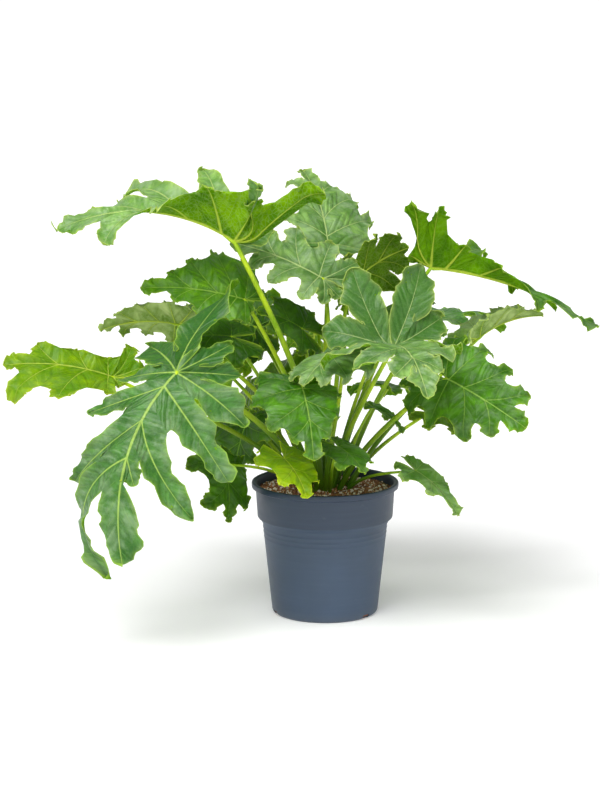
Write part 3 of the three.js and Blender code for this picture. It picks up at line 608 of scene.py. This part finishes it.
def close_sheet(upper, faces, shift):
    """Upper and lower faces and the rim between them, as vertices, as sheet corners, and the sides.

    `upper` has the faces as vertices of the sheet and `faces` as corners of the lobes' grids.
    """
    edges = {}
    for ids, face in zip(upper, faces):
        for here, ahead, corner, after in zip(ids, ids[1:] + ids[:1], face, face[1:] + face[:1]):
            edges[here, ahead] = (corner, after)
    lower = [[vertex + shift for vertex in ids[::-1]] for ids in upper]
    rim, rim_corners = [], []
    for (here, ahead), (corner, after) in edges.items():
        if (ahead, here) not in edges:
            rim.append([ahead, here, here + shift, ahead + shift])
            rim_corners += [after, corner, corner, after]
    corners = [corner for face in faces for corner in face]
    turned = [corner for face in faces for corner in face[::-1]]
    sides = [1] * len(corners) + [0] * len(turned) + [1, 1, 0, 0] * len(rim)
    slots = [0] * len(upper) + [1] * len(lower) + [0] * len(rim)
    return upper + lower + rim, corners + turned + rim_corners, sides, slots


def blade_mesh(leaf, place):
    lobes = blade_lobes(leaf, place["length"])
    widest = max(lobe["sinus"] for lobe, _ in lobes)
    web_rows = max(LEAST_WEB_ROWS, round(LOBE_ROWS * widest / 2))
    points, rib, facts, quads = [], [], [], []
    for lobe, neighbours in lobes:
        grid = lobe_grid(leaf, place, lobe, neighbours, web_rows)
        rows, columns = grid["rib"].shape
        quads += grid_quads(rows, columns, len(rib))
        points += list(grid["at"].reshape(-1, 3))
        rib += list(grid["rib"].ravel())
        facts += list(grid["facts"].reshape(rows * columns, -1))
    points, facts = np.array(points), np.array(facts)
    keys = np.round(points / JOIN_DISTANCE).astype(np.int64)
    _, first, joined = np.unique(keys, axis=0, return_index=True, return_inverse=True)
    joined = joined.ravel()
    places = points[first]
    ribs = np.zeros((len(first), 1))
    np.maximum.at(ribs[:, 0], joined, rib)
    faces = joined_faces(quads, joined)
    upper_faces = [joined[face].tolist() for face in faces]
    normals = sheet_normals(places, upper_faces)
    upper = places + normals * (BLADE_THICKNESS / 2 + UPPER_RIB_HEIGHT * ribs)
    lower = places - normals * (BLADE_THICKNESS / 2 + LOWER_RIB_HEIGHT * ribs)
    all_faces, corners, sides, slots = close_sheet(upper_faces, faces, len(places))
    return np.concatenate([upper, lower]), all_faces, np.column_stack([facts[corners], sides]), slots


# A stalk: a tapering tube from the soil to the blade, which runs on under the start of the midrib

def stalk_path(leaf, place):
    foot = foot_of(leaf)
    reach = place["seat"] - foot
    span = np.linalg.norm(reach)
    reach = reach / span
    start = unit((1 - leaf["lean"]) * np.array([0, 0, 1]) + leaf["lean"] * reach)
    end = unit(reach + STALK_NOD * place["along"])
    near = foot + STALK_GUIDES[0] * span * start
    far = place["seat"] - STALK_GUIDES[1] * span * end
    share = np.linspace(0, 1, STALK_STEPS + 1)[:, None]
    curve = ((1 - share) ** 3 * foot + 3 * (1 - share) ** 2 * share * near
             + 3 * (1 - share) * share ** 2 * far + share ** 3 * place["seat"])
    root = foot - np.array([0, 0, FOOT_RISE + ROOT_DEPTH])
    radii = leaf["stalk"] * (1 - (1 - STALK_TOP_TAPER) * share[:, 0])
    top = radii[-1]
    below = -STALK_SINK * top * place["up"]
    curve[-1] = curve[-1] + below / 2
    run_on = [place["seat"] + place["along"] * step * top + below for step, _ in STALK_RUN_ON]
    thinner = [share_of_top * top for _, share_of_top in STALK_RUN_ON]
    return np.concatenate([[root], curve, run_on]), np.concatenate([[leaf["stalk"]], radii, thinner])


def tube(path, radii, sides):
    headings = np.gradient(path, axis=0)
    headings /= np.linalg.norm(headings, axis=1, keepdims=True)
    across = unit(np.cross(headings[0], (0.3, 1, 0.1)))
    turns = np.linspace(0, 2 * math.pi, sides, endpoint=False)[:, None]
    points = []
    for centre, heading, radius in zip(path, headings, radii):
        across = unit(across - heading * np.dot(across, heading))
        other = np.cross(heading, across)
        points.append(centre + radius * (np.cos(turns) * across + np.sin(turns) * other))
    faces = []
    for ring in range(len(path) - 1):
        for side in range(sides):
            ahead = (side + 1) % sides
            faces.append([ring * sides + side, ring * sides + ahead,
                          (ring + 1) * sides + ahead, (ring + 1) * sides + side])
    faces.append(list(range(sides))[::-1])
    faces.append([(len(path) - 1) * sides + side for side in range(sides)])
    lengths = np.concatenate([[0], np.cumsum(np.linalg.norm(np.diff(path, axis=0), axis=1))])
    return np.concatenate(points), faces, np.repeat(lengths, sides)


# Mesh objects

def add_mesh(name, points, faces, materials, slots=None):
    mesh = bpy.data.meshes.new(name)
    mesh.from_pydata((np.asarray(points) * MM).tolist(), [], faces)
    for material in materials:
        mesh.materials.append(material)
    if slots is not None:
        mesh.polygons.foreach_set("material_index", slots)
    mesh.shade_smooth()
    piece = bpy.data.objects.new(name, mesh)
    bpy.context.scene.collection.objects.link(piece)
    return piece


def add_facts(mesh, name, values):
    layer = mesh.attributes.new(name, "FLOAT_VECTOR", "CORNER")
    layer.data.foreach_set("vector", np.ascontiguousarray(values, dtype=np.float32).ravel())


def make_leaf(leaf):
    """Blade and stalk in one piece, with the facts that its materials read at every face corner.

    leaf_flat: across, along, tone of the lobe. leaf_vein: distance from the lobe's vein, distance along
    it, distance from the margin. leaf_side: distance from the midrib, width of a vein, 1 on the upper side.
    """
    place = place_blade(leaf)
    points, faces, facts, slots = blade_mesh(leaf, place)
    stalk_points, stalk_faces, lengths = tube(*stalk_path(leaf, place), STALK_SIDES)
    shift = len(points)
    stalk_corners = np.array([corner for face in stalk_faces for corner in face])
    stalk_facts = np.zeros((len(stalk_corners), facts.shape[1]))
    stalk_facts[:, 4] = lengths[stalk_corners]
    stalk_facts[:, 5] = lengths[stalk_corners] / lengths.max()
    faces = faces + [[corner + shift for corner in face] for face in stalk_faces]
    facts = np.concatenate([facts, stalk_facts])
    style = leaf["style"]
    name = "leaf_" + leaf["name"]
    materials = [blade_material(style, "upper"), blade_material(style, "under"),
                 stalk_material("young" if style in YOUNG_STALK_STYLES else "grown")]
    piece = add_mesh(name + "_fine", np.concatenate([points, stalk_points]), faces, materials,
                     slots + [2] * len(stalk_faces))
    for first, facts_name in zip((0, 3, 6), ("leaf_flat", "leaf_vein", "leaf_side")):
        add_facts(piece.data, facts_name, facts[:, first:first + 3])
    piece.data.set_sharp_from_angle(angle=math.radians(LEAF_SHARP_DEGREES))
    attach(piece, "root")
    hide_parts(name)


# The pot

def lathe(profile, segments):
    turns = np.linspace(0, 2 * math.pi, segments, endpoint=False)
    points, faces, rings = [], [], []
    for radius, height in profile:
        if radius < 1e-6:
            rings.append([len(points)])
            points.append((0, 0, height))
        else:
            rings.append(list(range(len(points), len(points) + segments)))
            points += [(radius * math.cos(turn), radius * math.sin(turn), height) for turn in turns]
    for here, ahead in zip(rings, rings[1:]):
        for side in range(segments):
            after = (side + 1) % segments
            if len(here) == 1:
                faces.append([here[0], ahead[after], ahead[side]])
            elif len(ahead) == 1:
                faces.append([here[side], here[after], ahead[0]])
            else:
                faces.append([here[side], here[after], ahead[after], ahead[side]])
    return points, faces


def near(radius, height, offsets):
    """Profile points, given as (outward, up) from one place."""
    return [(radius + out, height + up) for out, up in offsets]


def pot_profile():
    """The pot's outline: base, body with its rings, step, collar, rolled rim, then down the inside."""
    top = POT_HEIGHT
    body_top = top - STEP_DEPTH
    base = [(0, 0)]
    for degrees in range(0, 91, 15):
        turn = math.radians(degrees)
        radius = BASE_RADIUS + BASE_ROUNDING * (math.sin(turn) - 1)
        base.append((radius, BASE_ROUNDING * (1 - math.cos(turn))))
    rings = []
    for drop in RING_DROPS:
        height = body_top - drop
        rings += near(BASE_RADIUS + (BODY_TOP_RADIUS - BASE_RADIUS) * height / body_top, height, RING_SHAPE)
    step = near(BODY_TOP_RADIUS, body_top, [(-0.3, -2.5), (0, -1), (1.4, 0.9)])
    step += near(COLLAR_FOOT_RADIUS, body_top, [(-3.5, 6.6), (-1, 8.2), (0, 9.8)])
    collar_top = near(COLLAR_TOP_RADIUS, top - RIM_DEPTH, [(-0.2, -1.5), (0.6, 0.4)])
    rim = near(RIM_RADIUS, top, [(-1.6, -0.82 * RIM_DEPTH), (-0.4, -0.74 * RIM_DEPTH), (0, -0.6 * RIM_DEPTH),
                                 (0, -2.6), (-0.5, -1), (-1.7, -0.1), (-3.2, 0)])
    rim += near(COLLAR_TOP_RADIUS, top, [(1, -0.6), (-1, -1.6), (-WALL, -4)])
    inside = [(COLLAR_TOP_RADIUS - WALL, top - SOIL_DROP),
              (COLLAR_FOOT_RADIUS - WALL, top - INNER_STEP_DEPTH),
              (BODY_TOP_RADIUS - WALL, body_top), (BASE_RADIUS - WALL, POT_FLOOR), (0, POT_FLOOR)]
    return base + rings + step + collar_top + rim + inside


def cut_notch(pot, degrees):
    turn = math.radians(degrees)
    bpy.ops.mesh.primitive_cube_add(size=1)
    cutter = bpy.context.object
    cutter.scale = (NOTCH_DEPTH * MM, NOTCH_WIDTH * MM, 2 * NOTCH_HEIGHT * MM)
    cutter.location = (BASE_RADIUS * MM * math.cos(turn), BASE_RADIUS * MM * math.sin(turn), 0)
    cutter.rotation_euler = (0, 0, turn)
    bevel = cutter.modifiers.new("round", "BEVEL")
    bevel.width = NOTCH_ROUNDING * MM
    bevel.segments = 3
    cut = pot.modifiers.new("notch", "BOOLEAN")
    cut.operation = "DIFFERENCE"
    cut.solver = "EXACT"
    cut.object = cutter
    bpy.context.view_layer.objects.active = pot
    bpy.ops.object.modifier_apply(modifier=cut.name)
    bpy.data.objects.remove(cutter)


def make_pot():
    points, faces = lathe(pot_profile(), POT_SEGMENTS)
    piece = add_mesh("pot_fine", points, faces, [pot_material()])
    for degrees in NOTCH_DEGREES:
        cut_notch(piece, degrees)
    piece.data.set_sharp_from_angle(angle=math.radians(POT_SHARP_DEGREES))
    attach(piece, "root")
    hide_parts("pot")


# The potting mix: a rough surface with crumbs of bark and pale perlite on it

def soil_height(x, y):
    edge = COLLAR_TOP_RADIUS - WALL
    crown = SOIL_CROWN * (1 - (x * x + y * y) / edge ** 2)
    lumps = sum(height * noise.noise((x / size, y / size, layer)) for height, size, layer in SOIL_LUMPS)
    return POT_HEIGHT - SOIL_DROP + crown + lumps


def make_soil():
    level = POT_HEIGHT - SOIL_DROP
    edge = COLLAR_TOP_RADIUS - WALL - SOIL_EDGE_GAP
    inset = WALL + SOIL_GAP
    profile = [(0, SOIL_FOOT), (BASE_RADIUS - inset, SOIL_FOOT),
               (BODY_TOP_RADIUS - inset, POT_HEIGHT - STEP_DEPTH),
               (COLLAR_FOOT_RADIUS - inset, POT_HEIGHT - INNER_STEP_DEPTH), (edge, level - 4)]
    profile += [(edge * (1 - ring / SOIL_RINGS), level) for ring in range(SOIL_RINGS)]
    profile += [(0, level)]
    points, faces = lathe(profile, POT_SEGMENTS)
    points = [(x, y, soil_height(x, y) if z == level else z) for x, y, z in points]
    piece = add_mesh("soil_fine", points, faces, [soil_material()])
    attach(piece, "root")
    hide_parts("soil")


def scatter(grains):
    """Rough grains on the soil, clear of the stalks, joined in one mesh with a tone for each grain."""
    rng = np.random.default_rng(grains["seed"])
    ball = bmesh.new()
    bmesh.ops.create_icosphere(ball, subdivisions=1, radius=1)
    corners = np.array([vert.co[:] for vert in ball.verts])
    triangles = np.array([[vert.index for vert in face.verts] for face in ball.faces])
    ball.free()
    feet = np.array([foot_of(leaf)[:2] for leaf in LEAVES])
    edge = COLLAR_TOP_RADIUS - WALL - EDGE_CLEARANCE
    smallest, largest = grains["sizes"]
    points, faces, tones = [], [], []
    while len(points) < grains["count"]:
        x, y = rng.uniform(-edge, edge, 2)
        if math.hypot(x, y) > edge or np.min(np.linalg.norm(feet - (x, y), axis=1)) < STALK_CLEARANCE:
            continue
        size = smallest + (largest - smallest) * rng.random() ** GRAIN_SIZE_POWER
        shape = corners * (size * rng.uniform(*GRAIN_FLATNESS, 3))
        shape = shape * rng.uniform(*GRAIN_ROUGHNESS, (len(corners), 1))
        turn = Matrix.Rotation(rng.uniform(0, 6.28), 3, Vector(rng.normal(size=3)).normalized())
        shape = shape @ np.array(turn).T + (x, y, soil_height(x, y) + grains["stand"] * size)
        faces.append(triangles + len(points) * len(corners))
        points.append(shape)
        tones.append(np.full((3 * len(triangles), 3), rng.random()))
    material = grain_material(grains)
    piece = add_mesh(grains["name"], np.concatenate(points), np.concatenate(faces).tolist(), [material])
    add_facts(piece.data, "grain", np.concatenate(tones))
    piece.data.shade_flat()
    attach(piece, "root")


# What a leaf looks like, as screen colours: its upper side, shade, veins and margin, its underside and the
# shade there, and the light that comes through; then its share of pale bloom, partly painted sheen, and its
# gloss

def paint(colour):
    """A colour as seen on screen, 0 to 255, as linear light."""
    shares = [channel / 255 for channel in colour]
    return tuple(share / 12.92 if share <= 0.04045 else ((share + 0.055) / 1.055) ** 2.4 for share in shares)


def look_of(upper, shade, vein, edge, under, under_shade, glow, bloom_and_sheen_share, shine):
    tints = dict(upper=upper, shade=shade, vein=vein, edge=edge, under=under, under_shade=under_shade,
                 glow=glow, bloom_and_sheen=(190, 214, 172), under_vein=(206, 226, 76))
    return {name: paint(tint) for name, tint in tints.items()} | dict(bloom_and_sheen_share=bloom_and_sheen_share, shine=shine)


# The underside colours are partly painted light coming through the leaf
STYLES = {
    "sage": look_of((152, 194, 102), (54, 106, 34), (196, 218, 136), (200, 220, 112), (122, 172, 10),
                    (70, 120, 0), (190, 235, 40), 0.5, 0.36),
    "pale": look_of((154, 198, 98), (78, 134, 46), (196, 218, 130), (200, 220, 100), (136, 186, 0),
                    (70, 124, 0), (184, 236, 0), 0.5, 0.4),
    # grey: its pale underside is partly painted reflection, a glossy sheen seen at a low angle
    "grey": look_of((150, 178, 100), (84, 124, 48), (200, 216, 150), (196, 214, 110), (206, 226, 146),
                    (108, 146, 56), (200, 232, 90), 0.5, 0.34),
    "striped": look_of((132, 162, 62), (58, 96, 8), (200, 214, 132), (196, 212, 90), (116, 162, 20),
                       (46, 94, 0), (190, 226, 60), 0.3, 0.3),
    "cool": look_of((84, 140, 64), (38, 92, 34), (180, 212, 100), (166, 202, 72), (118, 174, 0),
                    (70, 124, 0), (190, 240, 30), 0.34, 0.34),
    "deep": look_of((70, 118, 0), (22, 62, 0), (128, 172, 54), (164, 194, 48), (92, 142, 0), (44, 92, 0),
                    (170, 224, 10), 0.08, 0.2),
    "fresh": look_of((86, 146, 22), (32, 82, 4), (152, 190, 78), (170, 202, 60), (114, 170, 0),
                     (66, 120, 0), (190, 240, 20), 0.18, 0.26),
    "lit": look_of((122, 180, 18), (54, 112, 2), (160, 200, 80), (176, 206, 66), (110, 164, 0),
                   (60, 112, 0), (190, 240, 20), 0.16, 0.28),
    "olive": look_of((96, 134, 0), (36, 74, 0), (164, 190, 50), (172, 198, 40), (102, 148, 0), (48, 90, 0),
                     (190, 232, 10), 0.06, 0.16),
    "lime": look_of((142, 178, 0), (76, 130, 0), (204, 218, 92), (202, 216, 64), (142, 184, 6),
                    (92, 144, 0), (210, 240, 20), 0.08, 0.2),
    "bright": look_of((172, 200, 0), (102, 150, 0), (226, 236, 90), (220, 232, 50), (170, 206, 0),
                      (110, 160, 0), (220, 246, 20), 0.08, 0.2),
}

# The two sides of a blade; a layer is (mask, colour, strength) and a relief is (mask, height). The layers
# that darken the rear of a blade, the floors of its folds and the flanks of its veins are painted shade, and
# the pale bloom layer is partly painted sheen.

BLADE_SIDES = {
    "upper": dict(
        tones=("shade", "upper"), stout=1, gloss=(0.33, 0.46), through=0.2,
        layers=(("patch", "shade", 0.7), ("tone", "upper", 0.3), ("bloom_and_sheen", "bloom_and_sheen", 1),
                ("rear", "shade", 0.85), ("painted_fold_shade", "shade", 0.46), ("near_vein", "shade", 0.4),
                ("net", "vein", 0.07), ("side_vein", "vein", 0.3), ("near_rim", "edge", 0.2),
                ("veins", "vein", 0.8), ("rim", "edge", 0.7)),
        relief=(("pillow", 0.65), ("fine", 0.14), ("folds", 2.9), ("net", -0.07), ("near_vein", -0.5),
                ("veins", 0.5))),
    "under": dict(
        tones=("under_shade", "under"), stout=1.5, gloss=(0.55, 0.7), through=0.34, shine=0.06,
        layers=(("near_vein", "under_shade", 0.75), ("small_vein", "vein", 0.5),
                ("veins", "under_vein", 0.9), ("rim", "edge", 0.6)),
        relief=(("fine", 0.2), ("pillow", -0.8), ("veins", 0.5))),
}
BLADE_RELIEF = 0.0013
GLOWING_VEINS = 0.5
SIDE_VEIN_SPACING = 17.0
SIDE_VEIN_CURVE = 0.01
SIDE_VEIN_WAVER = 22.0
FOLD_STRETCH = (0.075, 0.016, 1.6)
VEIN_EDGES = (0.6, 1.35)
MIDRIB_EDGES = (0.6, 1.25)
MIDRIB_EXTRA_WIDTH = 0.35

# The other materials; a layer is (value, from, to, strength at from, strength at to, colour)

YOUNG_STALK_STYLES = ("lime", "olive")
STALK_TONES = {"grown": ((128, 174, 0), (182, 212, 16)), "young": ((146, 188, 0), (194, 220, 20))}
# The stalks darken towards the foot: partly their own darker base, partly painted shade under the leaves
STALK_LAYERS = (("streak", 0.35, 0.7, 0, 0.35, (222, 238, 96)), ("share", 0.25, 0.85, 0.88, 0, (50, 96, 0)))
STALK_SHINE = 0.22
POT_TONES = ((49, 66, 86), (57, 75, 98))
# On the pot: above 16 cm the collar, rim and inside are darker as painted shade under the leaves; faint
# bands and dust; the lowest 2 cm paler grey
POT_LAYERS = (("height", 0.158, 0.162, 0, 0.75, (36, 50, 69)), ("band", 0.4, 0.75, 0, 0.06, (92, 108, 128)),
              ("dust", 0.6, 0.8, 0, 0.16, (122, 132, 140)), ("height", 0, 0.02, 0.18, 0, (104, 108, 108)))
SOIL_TONES = ((112, 70, 48), (160, 104, 70))
SOIL_LAYERS = (("grain", 0.52, 0.75, 0, 0.7, (206, 150, 112)), ("grain", 0.25, 0.42, 0.8, 0, (46, 26, 16)))


class Nodes:
    """Builds one node material with short calls."""

    def __init__(self, name):
        self.material = bpy.data.materials.new(name)
        self.material.use_nodes = True
        self.tree = self.material.node_tree
        self.tree.nodes.clear()

    def node(self, kind, inputs=(), **settings):
        made = self.tree.nodes.new(kind)
        for key, value in settings.items():
            setattr(made, key, value)
        for key, value in dict(inputs).items():
            self.put(made.inputs[key], value)
        return made

    def put(self, socket, value):
        if isinstance(value, bpy.types.NodeSocket):
            self.tree.links.new(value, socket)
        elif isinstance(value, tuple) and socket.type == "RGBA":
            socket.default_value = (*value, 1)
        else:
            socket.default_value = value

    def math(self, operation, *values):
        return self.node("ShaderNodeMath", enumerate(values), operation=operation).outputs[0]

    def plus(self, first, second):
        return self.math("ADD", first, second)

    def minus(self, first, second):
        return self.math("SUBTRACT", first, second)

    def times(self, first, second):
        return self.math("MULTIPLY", first, second)

    def over(self, first, second):
        return self.math("DIVIDE", first, second)

    def blend(self, share, first, second):
        return self.node("ShaderNodeMix", {0: share, 6: first, 7: second}, data_type="RGBA").outputs[2]

    def ease(self, value, low, high, from_value=0.0, to_value=1.0):
        """From one value to the other, softly, while this value runs from low to high."""
        inputs = {0: value, 1: low, 2: high, 3: from_value, 4: to_value}
        return self.node("ShaderNodeMapRange", inputs, interpolation_type="SMOOTHSTEP").outputs[0]

    def tones(self, value, low, high, pair):
        return self.blend(self.ease(value, low, high), paint(pair[0]), paint(pair[1]))

    def layers(self, colour, values, rows):
        """Lays colours over one another, each by its own value."""
        for name, low, high, first, last, tint in rows:
            colour = self.blend(self.ease(values[name], low, high, first, last), colour, paint(tint))
        return colour

    def facts(self, name):
        read = self.node("ShaderNodeAttribute", attribute_name=name).outputs["Vector"]
        split = self.node("ShaderNodeSeparateXYZ", {0: read})
        return read, split.outputs[0], split.outputs[1], split.outputs[2]

    def place(self):
        return self.node("ShaderNodeTexCoord").outputs["Object"]

    def stretched(self, place, scales):
        return self.node("ShaderNodeMapping", {"Vector": place, "Scale": Vector(scales)}).outputs[0]

    def noise(self, place, scale, detail=3.0, roughness=0.55):
        inputs = {"Vector": place, "Scale": scale, "Detail": detail, "Roughness": roughness}
        return self.node("ShaderNodeTexNoise", inputs).outputs[0]

    def bump(self, height, distance, strength=1.0):
        inputs = {"Height": height, "Distance": distance, "Strength": strength}
        return self.node("ShaderNodeBump", inputs).outputs[0]

    def skin(self, colour, roughness, normal, more=()):
        inputs = {"Base Color": colour, "Roughness": roughness, "Normal": normal, **dict(more)}
        return self.node("ShaderNodeBsdfPrincipled", inputs).outputs[0]

    def finish(self, shader):
        out = self.node("ShaderNodeOutputMaterial")
        self.tree.links.new(shader, out.inputs[0])
        return self.material


def blade_facts(n, stout, bloom_and_sheen_share):
    """What both sides of a blade are painted and raised by."""
    flat, _, along, tone = n.facts("leaf_flat")
    _, offset, distance, edge = n.facts("leaf_vein")
    _, midrib, width, _ = n.facts("leaf_side")
    fine = n.noise(flat, 0.35, 4)

    # Side veins and soft folds both run forwards and outwards from the vein of a lobe
    curve = n.times(n.times(offset, offset), SIDE_VEIN_CURVE)
    run = n.minus(n.minus(distance, offset), curve)
    waver = n.times(n.minus(n.noise(flat, 0.035, 2), 0.5), SIDE_VEIN_WAVER)
    from_side_vein = n.math("PINGPONG", n.over(n.plus(run, waver), SIDE_VEIN_SPACING), 0.5)
    parts = (run, offset, n.noise(flat, 0.03, 1))
    stretched = {axis: n.times(part, scale) for axis, (part, scale) in enumerate(zip(parts, FOLD_STRETCH))}
    folds = n.noise(n.node("ShaderNodeCombineXYZ", stretched).outputs[0], 1.0, 2, 0.35)

    # Masks that are 1 on a vein or on the margin
    low, high = (stout * share for share in VEIN_EDGES)
    main = n.ease(n.over(offset, width), low, high, 1.0, 0.0)
    low, high = (stout * share for share in MIDRIB_EDGES)
    middle = n.ease(n.over(midrib, n.plus(width, MIDRIB_EXTRA_WIDTH)), low, high, 1.0, 0.0)
    strong = n.ease(n.noise(flat, 0.03, 2), 0.42, 0.62)
    side_vein = n.times(n.ease(from_side_vein, 0.008, 0.04, 1.0, 0.0), strong)
    cells = n.node("ShaderNodeTexVoronoi", {"Vector": flat, "Scale": 0.16}, feature="DISTANCE_TO_EDGE")
    net = n.ease(cells.outputs[0], 0.0, 0.12, 1.0, 0.0)
    ragged_edge = n.plus(edge, n.times(n.minus(fine, 0.5), 1.2))
    return dict(
        tone=tone, fine=fine, folds=folds, net=net, side_vein=side_vein,
        broad=n.noise(flat, 0.02, 3),
        patch=n.ease(n.noise(flat, 0.055, 3), 0.42, 0.6),
        # Pale patches: partly the leaf's own waxy bloom, partly painted sheen
        bloom_and_sheen=n.ease(n.noise(flat, 0.028, 5, 0.7), 0.42, 0.64, 0.0, bloom_and_sheen_share),
        # Painted shade: the lobes behind the stalk are darkened towards the shade colour
        rear=n.ease(along, -30, 12, 1.0, 0.0),
        # Painted shade in the floors of the folds
        painted_fold_shade=n.ease(folds, 0.3, 0.62, 1.0, 0.0),
        pillow=n.ease(from_side_vein, 0.0, 0.4),
        small_vein=n.math("MAXIMUM", side_vein, n.times(net, 0.6)),
        veins=n.math("MAXIMUM", main, middle),
        # Nearness to a vein; the colour layers darken it as painted shade on the flanks of the veins
        near_vein=n.ease(n.math("MINIMUM", offset, midrib), 0.0, 8.0, 1.0, 0.0),
        rim=n.ease(ragged_edge, 0.6, 1.45, 1.0, 0.0),
        near_rim=n.ease(edge, 0.0, 9.0, 1.0, 0.0),
    )


@functools.cache
def blade_material(style, side):
    """One side of a blade: two tones with layers over them, relief, and some light from behind."""
    form = BLADE_SIDES[side]
    look = STYLES[style]
    n = Nodes(style + "_" + side)
    at = blade_facts(n, form["stout"], look["bloom_and_sheen_share"])
    dark, light = form["tones"]
    colour = n.blend(n.ease(at["broad"], 0.36, 0.62), look[dark], look[light])
    for mask, tint, strength in form["layers"]:
        colour = n.blend(n.times(at[mask], strength), colour, look[tint])
    height = 0.0
    for mask, amount in form["relief"]:
        height = n.math("MULTIPLY_ADD", at[mask], amount, height)
    normal = n.bump(height, BLADE_RELIEF, 0.9)
    glow = look["glow"]
    if side == "under":
        glow = n.blend(n.times(at["veins"], GLOWING_VEINS), glow, look["vein"])
    skin = n.skin(colour, n.ease(at["fine"], 0.2, 0.8, *form["gloss"]), normal,
                  {"Specular IOR Level": form.get("shine", look["shine"])})
    behind = n.node("ShaderNodeBsdfTranslucent", {"Color": glow, "Normal": normal}).outputs[0]
    return n.finish(n.node("ShaderNodeMixShader", {0: form["through"], 1: skin, 2: behind}).outputs[0])


@functools.cache
def stalk_material(age):
    n = Nodes(age + "_stalk")
    _, _, _, share = n.facts("leaf_vein")
    streak = n.noise(n.stretched(n.place(), (900, 900, 40)), 1.0, 3)
    colour = n.tones(n.noise(n.place(), 22.0, 3), 0.35, 0.65, STALK_TONES[age])
    colour = n.layers(colour, dict(streak=streak, share=share), STALK_LAYERS)
    skin = n.skin(colour, n.ease(streak, 0.2, 0.8, 0.34, 0.5), n.bump(streak, 0.0004, 0.6),
                  {"Specular IOR Level": STALK_SHINE})
    return n.finish(skin)


def pot_material():
    n = Nodes("pot_plastic")
    place = n.place()
    height = n.node("ShaderNodeSeparateXYZ", {0: place}).outputs[2]
    broad = n.noise(place, 9.0, 4)
    band = n.noise(n.stretched(place, (10, 10, 160)), 1.0, 4)
    dust = n.noise(place, 60.0, 6, 0.7)
    colour = n.tones(broad, 0.3, 0.7, POT_TONES)
    colour = n.layers(colour, dict(height=height, band=band, dust=dust), POT_LAYERS)
    relief = n.plus(n.times(n.noise(place, 900.0, 2), 0.5), n.times(band, 0.15))
    rough = n.ease(n.plus(broad, n.times(dust, 0.4)), 0.4, 1.0, 0.38, 0.55)
    return n.finish(n.skin(colour, rough, n.bump(relief, 0.0002, 0.7)))


def soil_material():
    n = Nodes("potting_mix")
    place = n.place()
    grain = n.noise(place, 420.0, 5, 0.7)
    colour = n.tones(n.noise(place, 70.0, 4), 0.3, 0.7, SOIL_TONES)
    colour = n.layers(colour, dict(grain=grain), SOIL_LAYERS)
    return n.finish(n.skin(colour, 0.9, n.bump(grain, 0.0016)))


def grain_material(grains):
    n = Nodes(grains["material"])
    _, tone, _, _ = n.facts("grain")
    speck = n.noise(n.place(), 700.0, 3)
    colour = n.blend(tone, paint(grains["darkest"]), paint(grains["brightest"]))
    colour = n.layers(colour, dict(speck=speck), [("speck", 0.3, 0.7, 0, 0.3, grains["darkest"])])
    return n.finish(n.skin(colour, grains["roughness"], n.bump(speck, 0.0005, 0.8)))


def floor_material():
    n = Nodes("floor")
    darker, lighter = ((grey, grey, grey) for grey in FLOOR_GREYS)
    colour = n.blend(n.ease(n.noise(n.place(), 0.6, 2), 0.3, 0.7), darker, lighter)
    inputs = {"Base Color": colour, "Roughness": 0.9,
              "Emission Color": colour, "Emission Strength": FLOOR_GLOW}
    return n.finish(n.node("ShaderNodeBsdfPrincipled", inputs).outputs[0])


# Floor, light and camera

def make_floor():
    half = FLOOR_HALF_WIDTH
    corners = [(-half, -half, 0), (half, -half, 0), (half, half, 0), (-half, half, 0)]
    floor = add_mesh("floor", corners, [[0, 1, 2, 3]], [floor_material()])


def add_lamp(light, shining, place=(0, 0, 0)):
    lamp = bpy.data.objects.new(light.name, light)
    lamp.location = place
    lamp.rotation_euler = Vector(shining).to_track_quat("-Z", "Y").to_euler()
    bpy.context.scene.collection.objects.link(lamp)


def make_sky():
    """White all round, brighter at the horizon than overhead."""
    world = bpy.data.worlds.new("studio")
    world.use_nodes = True
    nodes, links = world.node_tree.nodes, world.node_tree.links
    split = nodes.new("ShaderNodeSeparateXYZ")
    links.new(nodes.new("ShaderNodeTexCoord").outputs["Generated"], split.inputs[0])
    fall = nodes.new("ShaderNodeMapRange")
    fall.interpolation_type = "SMOOTHSTEP"
    for socket, value in zip((1, 2, 3, 4), (*SKY_FALL, HORIZON_STRENGTH, ZENITH_STRENGTH)):
        fall.inputs[socket].default_value = value
    links.new(split.outputs[2], fall.inputs[0])
    sky = nodes["Background"]
    sky.inputs[0].default_value = (1, 1, 1, 1)
    links.new(fall.outputs[0], sky.inputs[1])
    bpy.context.scene.world = world


def make_light():
    key = bpy.data.lights.new("key", "SUN")
    key.energy = KEY_STRENGTH
    key.angle = math.radians(KEY_SPREAD_DEGREES)
    add_lamp(key, -Vector(KEY_FROM))
    fill = bpy.data.lights.new("fill", "AREA")
    fill.shape = "DISK"
    fill.size = FILL_SIZE
    fill.energy = FILL_POWER
    add_lamp(fill, Vector(FILL_TARGET) - Vector(FILL_PLACE), FILL_PLACE)


def make_camera():
    data = bpy.data.cameras.new("camera")
    data.lens = LENS_MM
    data.sensor_width = SENSOR_MM
    data.sensor_fit = "AUTO"
    camera = bpy.data.objects.new("camera", data)
    camera.location = CAMERA_PLACE
    camera.rotation_euler = (math.radians(90 - CAMERA_DOWN_DEGREES), 0, 0)
    bpy.context.scene.collection.objects.link(camera)
    bpy.context.scene.camera = camera


make_camera()
make_sky()
make_light()
make_floor()
make_pot()
make_soil()
for entry in GRAINS:
    scatter(entry)
for entry in LEAVES:
    make_leaf(entry)

bpy.context.scene.view_settings.view_transform = "Standard"
